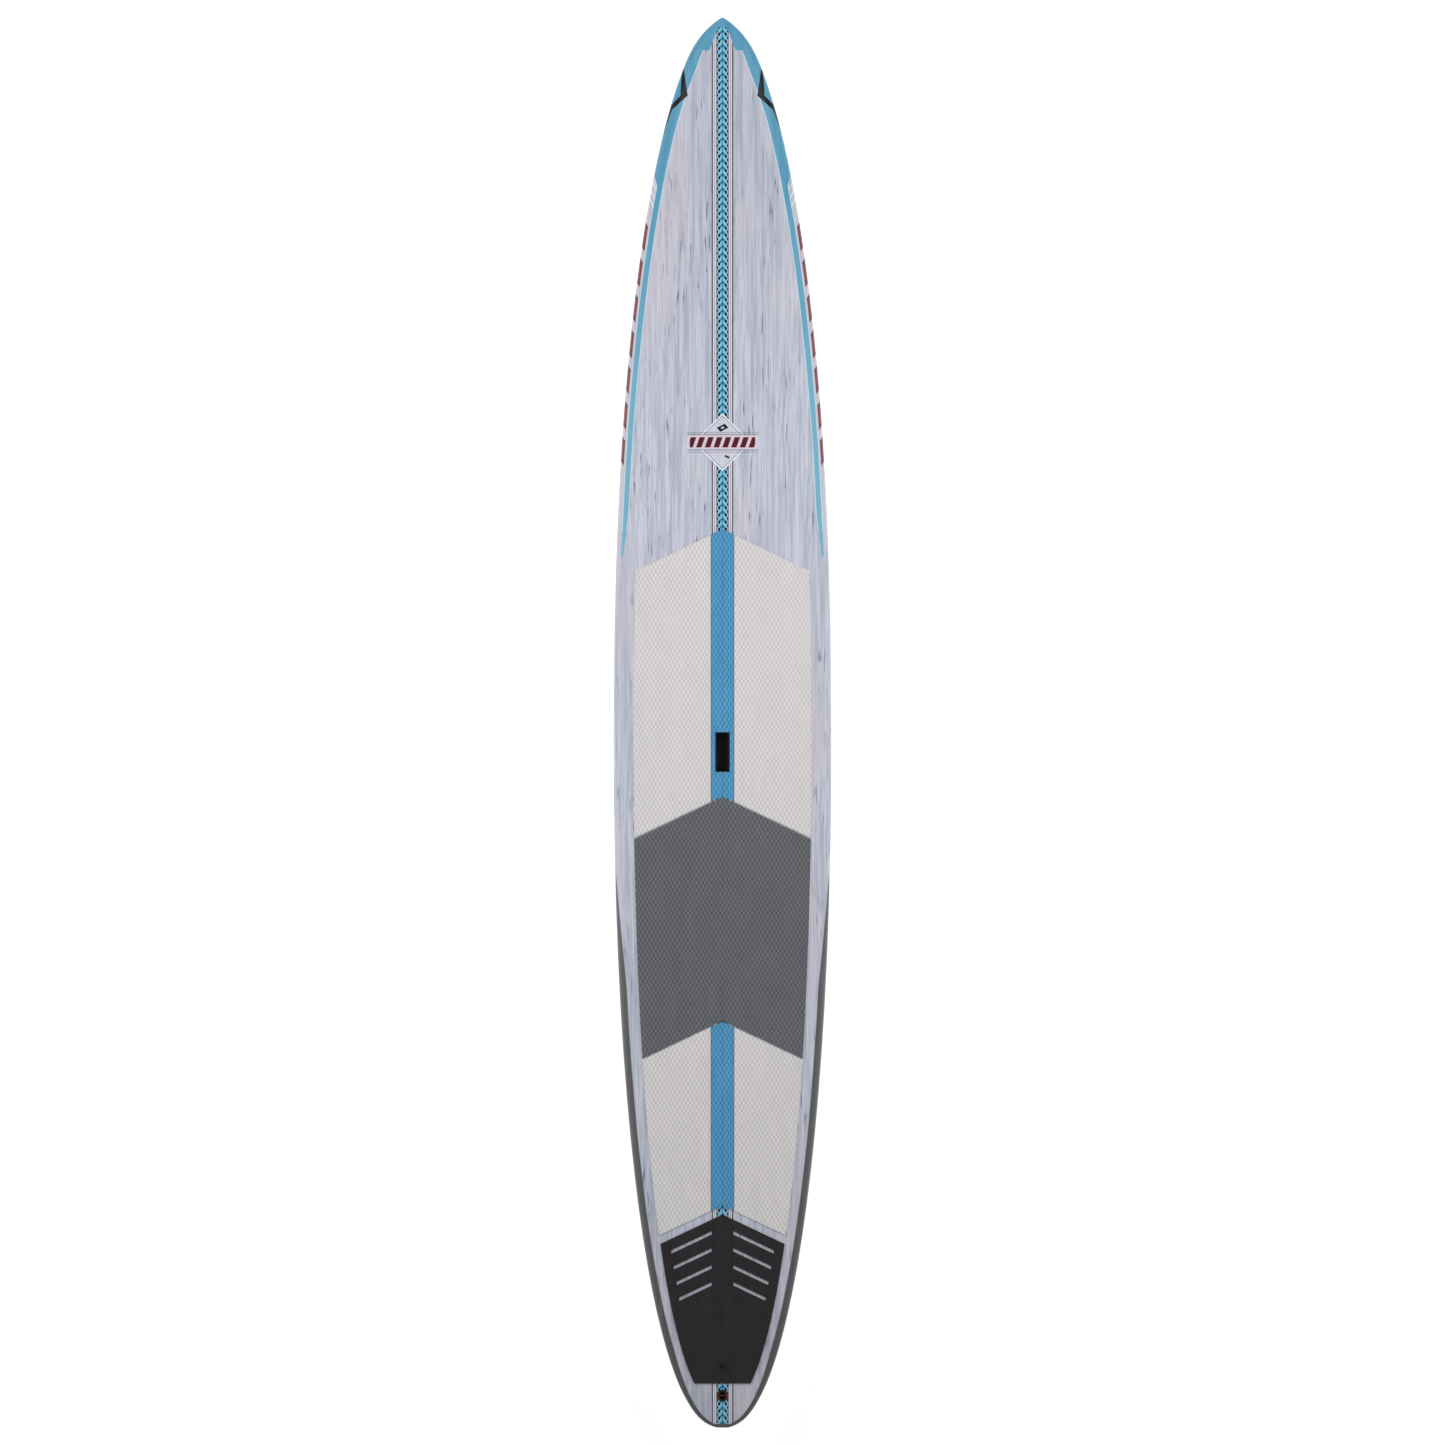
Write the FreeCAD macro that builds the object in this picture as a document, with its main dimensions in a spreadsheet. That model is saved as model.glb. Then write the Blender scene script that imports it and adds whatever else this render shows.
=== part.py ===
"""A 14 ft rigid stand up paddleboard with its pads, handle, leash plug, air vent and fin.

Frame: +Y to the nose, +X to the right of a paddler who faces the nose, +Z up through the deck. The
origin is the middle of the small flat on the bottom of the hull, half way along the board. Sizes
are in millimetres.

The hull is a set of cross sections, each half of them a superellipse, whose width, thickness and
rocker follow smooth formulas from each tip to the widest point. The same formulas with an inset
give the inside of the skin, and with a negative inset the top of the pads.
"""
import FreeCAD, Part
import math
import os

import Sketcher
from FreeCAD import Placement, Rotation, Vector

# Each size that can be set by itself: its name, its value in millimetres, degrees or as a pure
# number, and what it is.
SIZES = [
    ("board_length", 4267, "tip to tip, 14 ft"),
    ("board_width", 660, "at the widest point, 26 in"),
    ("board_thickness", 170, "at the widest point, deck to bottom on the centre line"),
    ("nose_to_wide", 2190, "nose tip back to the widest point"),
    ("tip_cut", 1.5, "how much of each outline's point is cut square"),
    ("nose_outline_curve", 2.25, "outline: how fast it closes in towards the nose"),
    ("nose_outline_power", 0.543, "outline: how blunt the nose is, 0.5 is round"),
    ("nose_point_reach", 22, "outline: how far back the nose is drawn in to a point"),
    ("nose_point_share", 0.6, "outline: share of its width that the nose tip gives up"),
    ("tail_outline_curve", 2.1, "outline: how fast it closes in towards the tail"),
    ("tail_outline_power", 0.446, "outline: how blunt the tail is, 0.5 is round"),
    ("nose_foil_curve", 2.2, "thickness: how fast it falls towards the nose"),
    ("nose_foil_power", 0.76, "thickness: how blunt it is near the nose"),
    ("tail_foil_curve", 2.0, "thickness: how fast it falls towards the tail"),
    ("tail_foil_power", 0.8, "thickness: how blunt it is near the tail"),
    ("nose_tip_thickness", 26, "thickness at the nose tip"),
    ("tail_tip_thickness", 24, "thickness at the tail tip"),
    ("nose_rocker", 170, "height of the nose's bottom above the middle"),
    ("tail_rocker", 75, "height of the tail's bottom above the middle"),
    ("rocker_curve", 2.6, "power of the rocker line, higher is flatter in the middle"),
    ("apex_share", 0.46, "height of the rail's widest line, as a share of the thickness"),
    ("deck_squareness", 5, "superellipse power across the deck"),
    ("hull_squareness", 8, "superellipse power across the bottom"),
    ("flat_trim", 1.0, "how much is planed off the lowest point to make the flat"),
    ("skin_thickness", 3, "glass and epoxy skin"),
    ("rail_band", 20, "rail pieces, seen from above"),
    ("stringer_thickness", 6, "wooden stringer on the centre line"),
    ("panel_thickness", 4, "stiff sandwich panel under the standing area"),
    ("panel_margin", 84, "sandwich panel's edge, in from the outline"),
    ("panel_reach", 620, "sandwich panel's front end, ahead of the middle"),
    ("panel_overhang", 60, "sandwich panel's rear end, behind the standing pad"),
    ("pad_thickness", 5, "foam deck pads"),
    ("pad_margin", 61, "pads' outer edge, in from the outline"),
    ("pad_gap", 4, "gap between one pad and the next"),
    ("strip_gap", 1.5, "gap along each side of the centre strips"),
    ("strip_width", 68, "blue centre strips"),
    ("chevron_angle", 25.4, "slope of every pad's V ends"),
    ("front_pad_front", 586, "tip of the front pads' V, ahead of the middle"),
    ("standing_pad_front", 225, "tip of the standing pad's front V, behind the middle"),
    ("standing_pad_length", 675, "standing pad, along the centre line"),
    ("tail_pad_setback", 134, "tail pad's rear edge, ahead of the tail tip"),
    ("tail_pad_length", 512, "tail pad, along the centre line"),
    ("tail_pad_gap", 27.5, "bare deck between the rear pads and the tail pad"),
    ("slot_first", 35, "first slot of the tail pad, behind its tip"),
    ("slot_pitch", 51.5, "from one slot to the next"),
    ("slot_width", 10, "slot, measured along the board"),
    ("slot_inner", 30, "slots' inner ends, off the centre line"),
    ("slot_outer", 156, "first slot's outer end, off the centre line"),
    ("slot_step", 8.2, "how much nearer in each next slot ends"),
    ("handle_setback", 88, "middle of the handle, behind the middle of the board"),
    ("handle_length", 115, "handle opening along the board"),
    ("handle_width", 38, "handle opening across the board"),
    ("handle_corner", 6, "corner radius of the handle opening"),
    ("handle_depth", 48, "handle recess below the deck"),
    ("handle_undercut", 14, "finger room under the handle's left edge"),
    ("handle_ledge", 16, "thickness of the edge that the fingers pull on"),
    ("cup_wall", 2.5, "wall of the moulded cups"),
    ("block_wall", 12, "dense foam round each insert"),
    ("seat_gap", 0.3, "clearance round each insert"),
    ("leash_setback", 97, "leash plug, ahead of the tail tip"),
    ("leash_flange", 36, "leash plug's rim, across"),
    ("leash_bore", 26, "leash plug's hollow, across"),
    ("leash_depth", 20, "leash plug's hollow, below the deck"),
    ("leash_pin_diameter", 4.5, "stainless pin across the leash plug"),
    ("leash_pin_drop", 6, "pin's middle, below the deck"),
    ("flange_thickness", 2, "rims of the plugs and of the fin box"),
    ("vent_setback", 184, "air vent, ahead of the tail tip"),
    ("vent_opening", 16, "hole in the tail pad over the air vent"),
    ("vent_flange", 24, "air vent housing's rim, across"),
    ("vent_body", 16, "air vent housing's barrel, across"),
    ("vent_length", 22, "air vent housing, below the deck"),
    ("vent_thread", 8, "air vent screw, across its thread"),
    ("vent_head", 12.5, "air vent screw, across its head"),
    ("vent_head_height", 3, "air vent screw's head"),
    ("vent_screw_length", 13, "air vent screw's threaded length"),
    ("ring_section", 1.8, "sealing ring, thickness of its section"),
    ("membrane_thickness", 1, "breathing disc at the bottom of the vent"),
    ("thread_clearance", 0.1, "radial clearance between a screw and its hole"),
    ("driver_slot", 1.6, "screwdriver slots"),
    ("driver_slot_share", 0.8, "a slot's length, as a share of the screw's head"),
    ("fin_box_setback", 370, "middle of the fin box, ahead of the tail tip"),
    ("fin_box_slot", 254, "slot of the fin box, along the board"),
    ("fin_slot_width", 9.6, "slot of the fin box, across the board"),
    ("fin_slot_depth", 26, "slot of the fin box, up from the bottom"),
    ("fin_box_wall", 8, "solid walls round the slot"),
    ("fin_box_sink", 0.8, "how far the box sits inside the bottom's curve"),
    ("groove_width", 16.6, "side grooves of the slot, wall to wall"),
    ("groove_low", 9, "lower side of the grooves, up from the bottom"),
    ("groove_height", 5.2, "side grooves, low side to high side"),
    ("fin_side_clearance", 0.2, "fin's tab to each wall of the slot"),
    ("fin_tab_length", 120, "deep tab of the fin, along the board"),
    ("fin_tongue", 34, "thin tongue ahead of the tab, that the screw holds"),
    ("fin_tongue_thickness", 6, "the tongue's thickness"),
    ("fin_base", 178, "fin's root, along the board"),
    ("fin_depth", 215, "fin, below the bottom"),
    ("fin_thickness", 8.6, "fin's root, across"),
    ("fin_tip", 42, "fin's tip, along the board"),
    ("fin_lead", 12, "fin's root, how far ahead of the tab it starts"),
    ("fin_drop", 1, "fin's root, below the face of the fin box"),
    ("fin_rake", 150, "how far behind the root the fin's tip lies"),
    ("fin_rake_curve", 1.6, "power of the fin's rake, higher keeps it upright at the root"),
    ("fin_taper_curve", 1.3, "power of the fin's taper, higher keeps it wide at the root"),
    ("fin_thinning", 0.72, "share of its thickness that the fin loses by its tip"),
    ("fin_pin_diameter", 4.7, "brass pin across the fin's tab"),
    ("fin_pin_inset", 9, "pin, ahead of the tab's rear end"),
    ("fin_screw_diameter", 4, "fin screw, across its thread"),
    ("fin_screw_head", 7.4, "fin screw, across its head"),
    ("fin_screw_head_height", 2.4, "fin screw's head"),
    ("fin_screw_inset", 9, "fin screw, behind the tongue's front end"),
    ("nut_plate_side", 14, "square nut plate in the grooves"),
    ("nut_plate_thickness", 3.6, "nut plate"),
]

STATIONS = 12
QUARTER_STEPS = 10
FIN_SECTIONS = 5
SLOTS = 4
FAR = 600.0
SLOPE_REACH = 20.0
NEAR = 0.01

doc = FreeCAD.newDocument("paddleboard")
sheet = doc.addObject("Spreadsheet::Sheet", "Sizes")
for row, (alias, value, note) in enumerate(SIZES, start=1):
    sheet.set(f"A{row}", alias)
    sheet.set(f"B{row}", str(value))
    sheet.set(f"C{row}", note)
    sheet.setAlias(f"B{row}", alias)
doc.recompute()


def size(name):
    """A size from the sheet."""
    return float(sheet.get(name))


def worked_out(expression):
    """The number that an expression on the sheet's sizes comes to."""
    return float(sheet.evalExpression(expression))


# ---------------------------------------------------------------- the hull's formulas

WIDE_Y = size("board_length") / 2 - size("nose_to_wide")


def end_of(y):
    """The end of the board that y belongs to."""
    return "nose" if y >= WIDE_Y else "tail"


def tip(end, inset=0.0):
    """Where the outline comes to its point, just past the cut tip."""
    reach = size("board_length") / 2 + size("tip_cut") - inset
    return reach if end == "nose" else -reach


def share(y, inset=0.0):
    """How far y is from its tip: 0 at the tip, 1 at the widest point."""
    point = tip(end_of(y), inset)
    return max(0.0, (point - y) / (point - WIDE_Y))


def fullness(y, kind, inset=0.0):
    """0 at the tip and 1 at the widest point, for the outline or for the foil."""
    end = end_of(y)
    closing = (1 - share(y, inset)) ** size(f"{end}_{kind}_curve")
    return (1 - closing) ** size(f"{end}_{kind}_power")


def nose_point(y):
    """The share of the width that is left where the nose is drawn in to a point."""
    behind = tip("nose") - y
    return 1 - size("nose_point_share") * math.exp(-behind / size("nose_point_reach"))


def half_width(y, inset=0.0):
    return (size("board_width") / 2 - inset) * fullness(y, "outline", inset) * nose_point(y)


def thickness(y):
    least = size(f"{end_of(y)}_tip_thickness")
    return least + (size("board_thickness") - least) * fullness(y, "foil")


def bottom(y):
    rocker = size(f"{end_of(y)}_rocker") * (1 - share(y)) ** size("rocker_curve")
    return rocker - size("flat_trim")


def deck(y):
    return bottom(y) + thickness(y)


def stations(inset=0.0):
    """Section places from tail to nose, closer together towards the tips."""
    places = []
    for end, sign in (("tail", -1), ("nose", 1)):
        point = tip(end, inset)
        half = [sign * (size("board_length") / 2 - inset)]
        for step in range(1, STATIONS + 1):
            half.append(point - (point - WIDE_Y) * (1 - math.cos(math.pi / 2 * step / STATIONS)))
        places += half if end == "tail" else half[-2::-1]
    return places


def spline(points):
    """A smooth edge through points that are evenly spaced along its own measure."""
    curve = Part.BSplineCurve()
    curve.interpolate(Points=points, Parameters=[step / (len(points) - 1) for step in range(len(points))])
    return curve.toShape()


def section(y, inset):
    """The hull's closed cross section: one edge over the deck and one under the bottom."""
    width = half_width(y, inset)
    low = bottom(y) + inset
    high = deck(y) - inset
    apex = low + size("apex_share") * (high - low)

    def half(height, squareness):
        points = []
        for step in range(-QUARTER_STEPS, QUARTER_STEPS + 1):
            across = math.sin(math.pi / 2 * step / QUARTER_STEPS)
            rise = math.sqrt(max(0.0, 1 - abs(across) ** squareness))
            points.append(Vector(width * across, y, apex + height * rise))
        return spline(points)

    over = half(high - apex, size("deck_squareness"))
    under = half(low - apex, size("hull_squareness"))
    return Part.Wire([over, under])


def hull(inset):
    """The whole board's outer shape, moved in by inset."""
    return Part.makeLoft([section(y, inset) for y in stations(inset)], True, False)


def outline_prism(inset):
    """A tall block whose plan is the board's outline, moved in by inset."""
    places = stations(inset)
    right = spline([Vector(half_width(y, inset), y, -FAR) for y in places])
    left = spline([Vector(-half_width(y, inset), y, -FAR) for y in reversed(places)])
    nose = Part.makeLine(right.valueAt(right.LastParameter), left.valueAt(left.FirstParameter))
    tail = Part.makeLine(left.valueAt(left.LastParameter), right.valueAt(right.FirstParameter))
    return Part.Face(Part.Wire([right, nose, left, tail])).extrude(Vector(0, 0, 2 * FAR))


def half_space(sign_x=0, low_y=None, high_y=None, low_z=None):
    """A large box that keeps one side of the board, a stretch of it, or what is above a height."""
    low = Vector(0 if sign_x > 0 else -FAR, -5 * FAR if low_y is None else low_y, -FAR)
    high = Vector(0 if sign_x < 0 else FAR, 5 * FAR if high_y is None else high_y, FAR)
    if low_z is not None:
        low.z = low_z
    span = high - low
    return Part.makeBox(span.x, span.y, span.z, low)


def tilted_frame(height, y, sink=0.0):
    """The frame on the deck or the bottom at y, with its Z square to that surface."""
    slope = (height(y + SLOPE_REACH) - height(y - SLOPE_REACH)) / (2 * SLOPE_REACH)
    turn = Rotation(Vector(1, 0, 0), math.degrees(math.atan(slope)))
    return Placement(Vector(0, y, height(y)) + turn.multVec(Vector(0, 0, sink)), turn)


# ---------------------------------------------------------------- drawing helpers

def add_feature(name, shape, label=None):
    """A shape made by the formulas, kept in the document."""
    feature = doc.addObject("Part::Feature", name)
    feature.Shape = shape
    feature.Label = label or name
    return feature


def tie(sketch, kind, geometry, point, expression):
    """Hold one point of a sketch at a signed distance from the origin."""
    value = worked_out(expression)
    if abs(value) < 1e-9:
        axis = -2 if kind == "DistanceX" else -1
        sketch.addConstraint(Sketcher.Constraint("PointOnObject", geometry, point, axis))
        return
    held = sketch.addConstraint(Sketcher.Constraint(kind, -1, 1, geometry, point, value))
    sketch.setExpression(f"Constraints[{held}]", expression)


def draw_polygon(sketch, corners):
    """A closed outline through corners, each a pair of expressions."""
    places = [Vector(worked_out(x), worked_out(y), 0) for x, y in corners]
    first = sketch.GeometryCount
    for number, start in enumerate(places):
        end = places[(number + 1) % len(places)]
        sketch.addGeometry(Part.LineSegment(start, end), False)
    for number in range(len(places)):
        following = first + (number + 1) % len(places)
        sketch.addConstraint(Sketcher.Constraint("Coincident", first + number, 2, following, 1))
    for number, (x, y) in enumerate(corners):
        tie(sketch, "DistanceX", first + number, 1, x)
        tie(sketch, "DistanceY", first + number, 1, y)


def rectangle(across, along, middle="0"):
    """Draws a rectangle centred on the sketch's Y axis."""
    def draw(sketch):
        sides = [f"-({across}) / 2", f"({across}) / 2"]
        ends = [f"{middle} - ({along}) / 2", f"{middle} + ({along}) / 2"]
        order = [(0, 0), (1, 0), (1, 1), (0, 1)]
        draw_polygon(sketch, [(sides[x], ends[y]) for x, y in order])
    return draw


def circle(diameter, x="0", y="0"):
    """Draws a circle."""
    def draw(sketch):
        centre = Vector(worked_out(x), worked_out(y), 0)
        radius = worked_out(diameter) / 2
        ring = sketch.addGeometry(Part.Circle(centre, Vector(0, 0, 1), radius), False)
        held = sketch.addConstraint(Sketcher.Constraint("Diameter", ring, 2 * radius))
        sketch.setExpression(f"Constraints[{held}]", diameter)
        tie(sketch, "DistanceX", ring, 3, x)
        tie(sketch, "DistanceY", ring, 3, y)
    return draw


def polygon(corners):
    """Draws a polygon."""
    return lambda sketch: draw_polygon(sketch, corners)


def block(left, right, rear, front):
    """Draws a rectangle between its four sides."""
    return polygon([(left, rear), (right, rear), (right, front), (left, front)])


def new_body(name, frame=None):
    """An empty body, set down in its frame."""
    body = doc.addObject("PartDesign::Body", name)
    body.Label = name
    if frame:
        body.Placement = frame
    return body


def new_sketch(body, draw, height="0", role="XY_Plane"):
    """A sketch on one of the body's own planes, at a height above it."""
    sketch = body.newObject("Sketcher::SketchObject", f"{body.Name}_sketch")
    plane = [item for item in body.Origin.OriginFeatures if item.Role == role][0]
    sketch.AttachmentSupport = [(plane, "")]
    sketch.MapMode = "FlatFace"
    if height != "0":
        sketch.setExpression("AttachmentOffset.Base.z", height)
    draw(sketch)
    return sketch


def add(body, draw, low, high):
    """Adds a prism between two heights."""
    step = body.newObject("PartDesign::Pad", f"{body.Name}_pad")
    step.Profile = new_sketch(body, draw, low)
    step.setExpression("Length", f"({high}) - ({low})")
    return step


def take(body, draw, low, high):
    """Cuts a prism away between two heights."""
    doc.recompute()
    before = body.Shape.Volume
    step = body.newObject("PartDesign::Pocket", f"{body.Name}_pocket")
    step.Profile = new_sketch(body, draw, high)
    step.setExpression("Length", f"({high}) - ({low})")
    doc.recompute()
    if body.Shape.Volume >= before:
        raise RuntimeError(f"{step.Name} cuts nothing")
    return step


def crosswise(body, draw, length, cut=False):
    """Adds or cuts a prism that lies along X, half each side of the centre line."""
    doc.recompute()
    kind = "PartDesign::Pocket" if cut else "PartDesign::Pad"
    step = body.newObject(kind, f"{body.Name}_cross")
    step.Profile = new_sketch(body, draw, role="YZ_Plane")
    step.Midplane = True
    step.setExpression("Length", length)
    return step


def round_uprights(body, radius, corner_x, corner_y):
    """Fillets the upright edges that stand at one corner distance from the middle."""
    doc.recompute()
    solid = body.Tip.Shape
    chosen = []
    for number, edge in enumerate(solid.Edges, start=1):
        low, high = edge.BoundBox.ZMin, edge.BoundBox.ZMax
        at_corner = abs(abs(edge.CenterOfMass.x) - worked_out(corner_x)) < NEAR
        at_corner = at_corner and abs(abs(edge.CenterOfMass.y) - worked_out(corner_y)) < NEAR
        if at_corner and high - low > edge.Length - NEAR:
            chosen.append(f"Edge{number}")
    rounded = body.Tip
    step = body.newObject("PartDesign::Fillet", f"{body.Name}_fillet")
    step.Base = (rounded, chosen)
    step.setExpression("Radius", radius)
    return step


def cut_from(base, tools, name):
    """What is left of a piece once every tool is taken from it."""
    for number, tool in enumerate(tools):
        last = number == len(tools) - 1
        step = doc.addObject("Part::Cut", name if last else f"{name}_step")
        step.Base = base
        step.Tool = tool
        step.Label = name if last else f"{name}_step_{number}"
        base = step
    return base


# ---------------------------------------------------------------- places along the board

TAIL_END = "(0 - Sizes.board_length / 2)"
HANDLE_FRAME = tilted_frame(deck, -size("handle_setback"))
LEASH_FRAME = tilted_frame(deck, worked_out(f"{TAIL_END} + Sizes.leash_setback"))
VENT_FRAME = tilted_frame(deck, worked_out(f"{TAIL_END} + Sizes.vent_setback"))
FIN_Y = worked_out(f"{TAIL_END} + Sizes.fin_box_setback")
FIN_FRAME = tilted_frame(bottom, FIN_Y, size("fin_box_sink"))


# ---------------------------------------------------------------- tools for the pockets

def pocket_tool(name, frame, draw, low, high):
    body = new_body(name, frame)
    add(body, draw, low, high)
    return body


ABOVE = "Sizes.board_thickness"
CUP_ACROSS = "(Sizes.handle_width + 2 * Sizes.cup_wall)"
CUP_ALONG = "(Sizes.handle_length + 2 * Sizes.cup_wall)"
CUP_FLOOR = "(0 - Sizes.handle_depth - Sizes.cup_wall)"
UNDERCUT_ROOF = "(0 - Sizes.handle_ledge)"
UNDERCUT_SIDE = "(Sizes.handle_width / 2 + Sizes.handle_undercut)"
CUP_SIDE = f"({UNDERCUT_SIDE} + Sizes.cup_wall)"
UNDER_PANEL = "(0 - Sizes.skin_thickness - Sizes.panel_thickness - Sizes.seat_gap)"
UNDER_SKIN = "(0 - Sizes.skin_thickness - Sizes.seat_gap)"
LEASH_OUTER = "(Sizes.leash_bore + 2 * Sizes.cup_wall)"
LEASH_FLOOR = "(0 - Sizes.leash_depth - Sizes.cup_wall)"
BOX_ACROSS = "(Sizes.fin_slot_width + 2 * Sizes.fin_box_wall)"
BOX_ALONG = "(Sizes.fin_box_slot + 2 * Sizes.fin_box_wall)"
BOX_TOP = "(Sizes.fin_slot_depth + Sizes.cup_wall)"
ROUND_GAP = "2 * Sizes.seat_gap"
BLOCK_EXTRA = "2 * Sizes.block_wall"

handle_hole = pocket_tool("handle_hole", HANDLE_FRAME, rectangle(
    f"{CUP_ACROSS} + {ROUND_GAP}", f"{CUP_ALONG} + {ROUND_GAP}"), UNDER_PANEL, ABOVE)
handle_bed = pocket_tool("handle_bed", HANDLE_FRAME, rectangle(
    f"2 * {CUP_SIDE} + {BLOCK_EXTRA} + {ROUND_GAP}", f"{CUP_ALONG} + {BLOCK_EXTRA} + {ROUND_GAP}"),
    f"{CUP_FLOOR} - Sizes.block_wall - Sizes.seat_gap", ABOVE)
leash_hole = pocket_tool("leash_hole", LEASH_FRAME, circle(
    f"Sizes.leash_flange + {ROUND_GAP}"), "0 - 2 * Sizes.skin_thickness", ABOVE)
leash_bed = pocket_tool("leash_bed", LEASH_FRAME, rectangle(
    f"{LEASH_OUTER} + {BLOCK_EXTRA} + {ROUND_GAP}", f"{LEASH_OUTER} + {BLOCK_EXTRA} + {ROUND_GAP}"),
    f"{LEASH_FLOOR} - 2 * Sizes.seat_gap", ABOVE)
vent_hole = pocket_tool("vent_hole", VENT_FRAME, circle(
    f"Sizes.vent_flange + {ROUND_GAP}"), "0 - Sizes.flange_thickness - Sizes.seat_gap", ABOVE)
vent_bore = pocket_tool("vent_bore", VENT_FRAME, circle(
    f"Sizes.vent_body + {ROUND_GAP}"), "0 - Sizes.vent_length - Sizes.seat_gap", ABOVE)
fin_box_hole = pocket_tool("fin_box_hole", FIN_FRAME, rectangle(
    f"{BOX_ACROSS} + {ROUND_GAP}", f"{BOX_ALONG} + {ROUND_GAP}"),
    f"0 - {ABOVE}", "3 * Sizes.skin_thickness")
fin_box_bed = pocket_tool("fin_box_bed", FIN_FRAME, rectangle(
    f"{BOX_ACROSS} + {BLOCK_EXTRA} + {ROUND_GAP}", f"{BOX_ALONG} + {BLOCK_EXTRA} + {ROUND_GAP}"),
    f"0 - {ABOVE}", f"{BOX_TOP} + Sizes.block_wall + Sizes.seat_gap")
vent_window = pocket_tool("vent_window", VENT_FRAME, circle("Sizes.vent_opening"),
                          "0 - Sizes.pad_thickness", ABOVE)


# ---------------------------------------------------------------- hull, skins, rails and core

def hull_pieces():
    """The blanks of the skins, rails, core, stringer and panel, before any pocket is cut."""
    skin = size("skin_thickness")
    flat = half_space(low_z=0)
    outer = hull(0).common(flat)
    inner = hull(skin)
    shell = outer.cut(inner)
    middle = outline_prism(size("rail_band"))
    pieces = {}
    faces = shell.common(middle).Solids
    faces.sort(key=lambda solid: solid.CenterOfMass.z)
    pieces["hull_skin"] = faces[0]
    pieces["deck_skin"] = faces[-1]
    rails = shell.cut(middle)
    pieces["right_rail"] = rails.common(half_space(sign_x=1))
    pieces["left_rail"] = rails.common(half_space(sign_x=-1))

    slab = Part.makeBox(size("stringer_thickness"), 10 * FAR, 2 * FAR,
                        Vector(-size("stringer_thickness") / 2, -5 * FAR, -FAR))
    rear = -size("standing_pad_front") - size("standing_pad_length") - size("panel_overhang")
    under_panel = hull(skin + size("panel_thickness"))
    stretch = outline_prism(size("panel_margin")).common(half_space(low_y=rear, high_y=size("panel_reach")))
    layers = inner.cut(under_panel).common(stretch).Solids
    panel = max(layers, key=lambda solid: solid.CenterOfMass.z)
    pieces["deck_panel"] = panel
    filling = inner.cut(panel)
    pieces["stringer"] = filling.common(slab)
    halves = filling.cut(slab)
    pieces["foam_core_right"] = halves.common(half_space(sign_x=1))
    pieces["foam_core_left"] = halves.common(half_space(sign_x=-1))

    cover = hull(-size("pad_thickness")).cut(outer).common(outline_prism(size("pad_margin"))).Solids
    pieces["pad_layer"] = max(cover, key=lambda solid: solid.CenterOfMass.z)
    return pieces


blanks = {name: add_feature(f"{name}_blank", shape) for name, shape in hull_pieces().items()}
CORE_POCKETS = [handle_bed, leash_bed, vent_bore, fin_box_bed]
PIECES = [
    cut_from(blanks["deck_skin"], [handle_hole, leash_hole, vent_hole, vent_bore], "deck_skin"),
    cut_from(blanks["hull_skin"], [fin_box_hole], "hull_skin"),
    blanks["left_rail"],
    blanks["right_rail"],
    cut_from(blanks["deck_panel"], [handle_hole], "deck_panel"),
    cut_from(blanks["stringer"], CORE_POCKETS, "stringer"),
    cut_from(blanks["foam_core_left"], CORE_POCKETS, "foam_core_left"),
    cut_from(blanks["foam_core_right"], CORE_POCKETS, "foam_core_right"),
]
blanks["left_rail"].Label = "left_rail"
blanks["right_rail"].Label = "right_rail"


# ---------------------------------------------------------------- deck pads

SIDE = "Sizes.board_width"
STRIP = "Sizes.strip_width / 2"
STANDING_FRONT = "(0 - Sizes.standing_pad_front)"
STANDING_REAR = "(0 - Sizes.standing_pad_front - Sizes.standing_pad_length)"
TAIL_PAD_REAR = f"({TAIL_END} + Sizes.tail_pad_setback)"
TAIL_PAD_FRONT = f"({TAIL_PAD_REAR} + Sizes.tail_pad_length)"


def on_chevron(apex, x):
    """The corner at x on a V that points to the nose, its tip at apex."""
    return (f"({x})", f"({apex}) - tan(Sizes.chevron_angle) * ({x})")


def mirrored(corner):
    """The same corner on the left side."""
    x, y = corner
    return (f"0 - {x}", y)


def chevron(front, rear, half):
    """A band across the board between two V lines."""
    right = [on_chevron(front, half), on_chevron(rear, half)]
    return [("0", front), right[0], right[1], ("0", rear), mirrored(right[1]), mirrored(right[0])]


def side_band(front, rear, inner, outer):
    """The part of such a band between two distances right of the centre line."""
    return [on_chevron(front, inner), on_chevron(front, outer),
            on_chevron(rear, outer), on_chevron(rear, inner)]


def tall_prism(name, outlines):
    """A block that stands through the board, with one or more outlines."""
    body = new_body(name)
    add(body, lambda sketch: [draw_polygon(sketch, corners) for corners in outlines],
        "0 - Sizes.board_thickness", "4 * Sizes.board_thickness")
    return body


def pad_piece(name, corners, windows=()):
    """A foam pad: the pad layer inside an outline, less its windows."""
    plan = tall_prism(f"{name}_plan", [corners])
    piece = doc.addObject("Part::Common", f"{name}_whole" if windows else name)
    piece.Base = blanks["pad_layer"]
    piece.Tool = plan
    piece.Label = piece.Name
    return cut_from(piece, windows, name) if windows else piece


def side_pads(kind, front, rear):
    """A left and a right pad beside a centre strip."""
    band = side_band(front, rear, f"{STRIP} + Sizes.strip_gap", SIDE)
    left = [mirrored(corner) for corner in band]
    return [pad_piece(f"{kind}_pad_right", band), pad_piece(f"{kind}_pad_left", left)]


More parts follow.
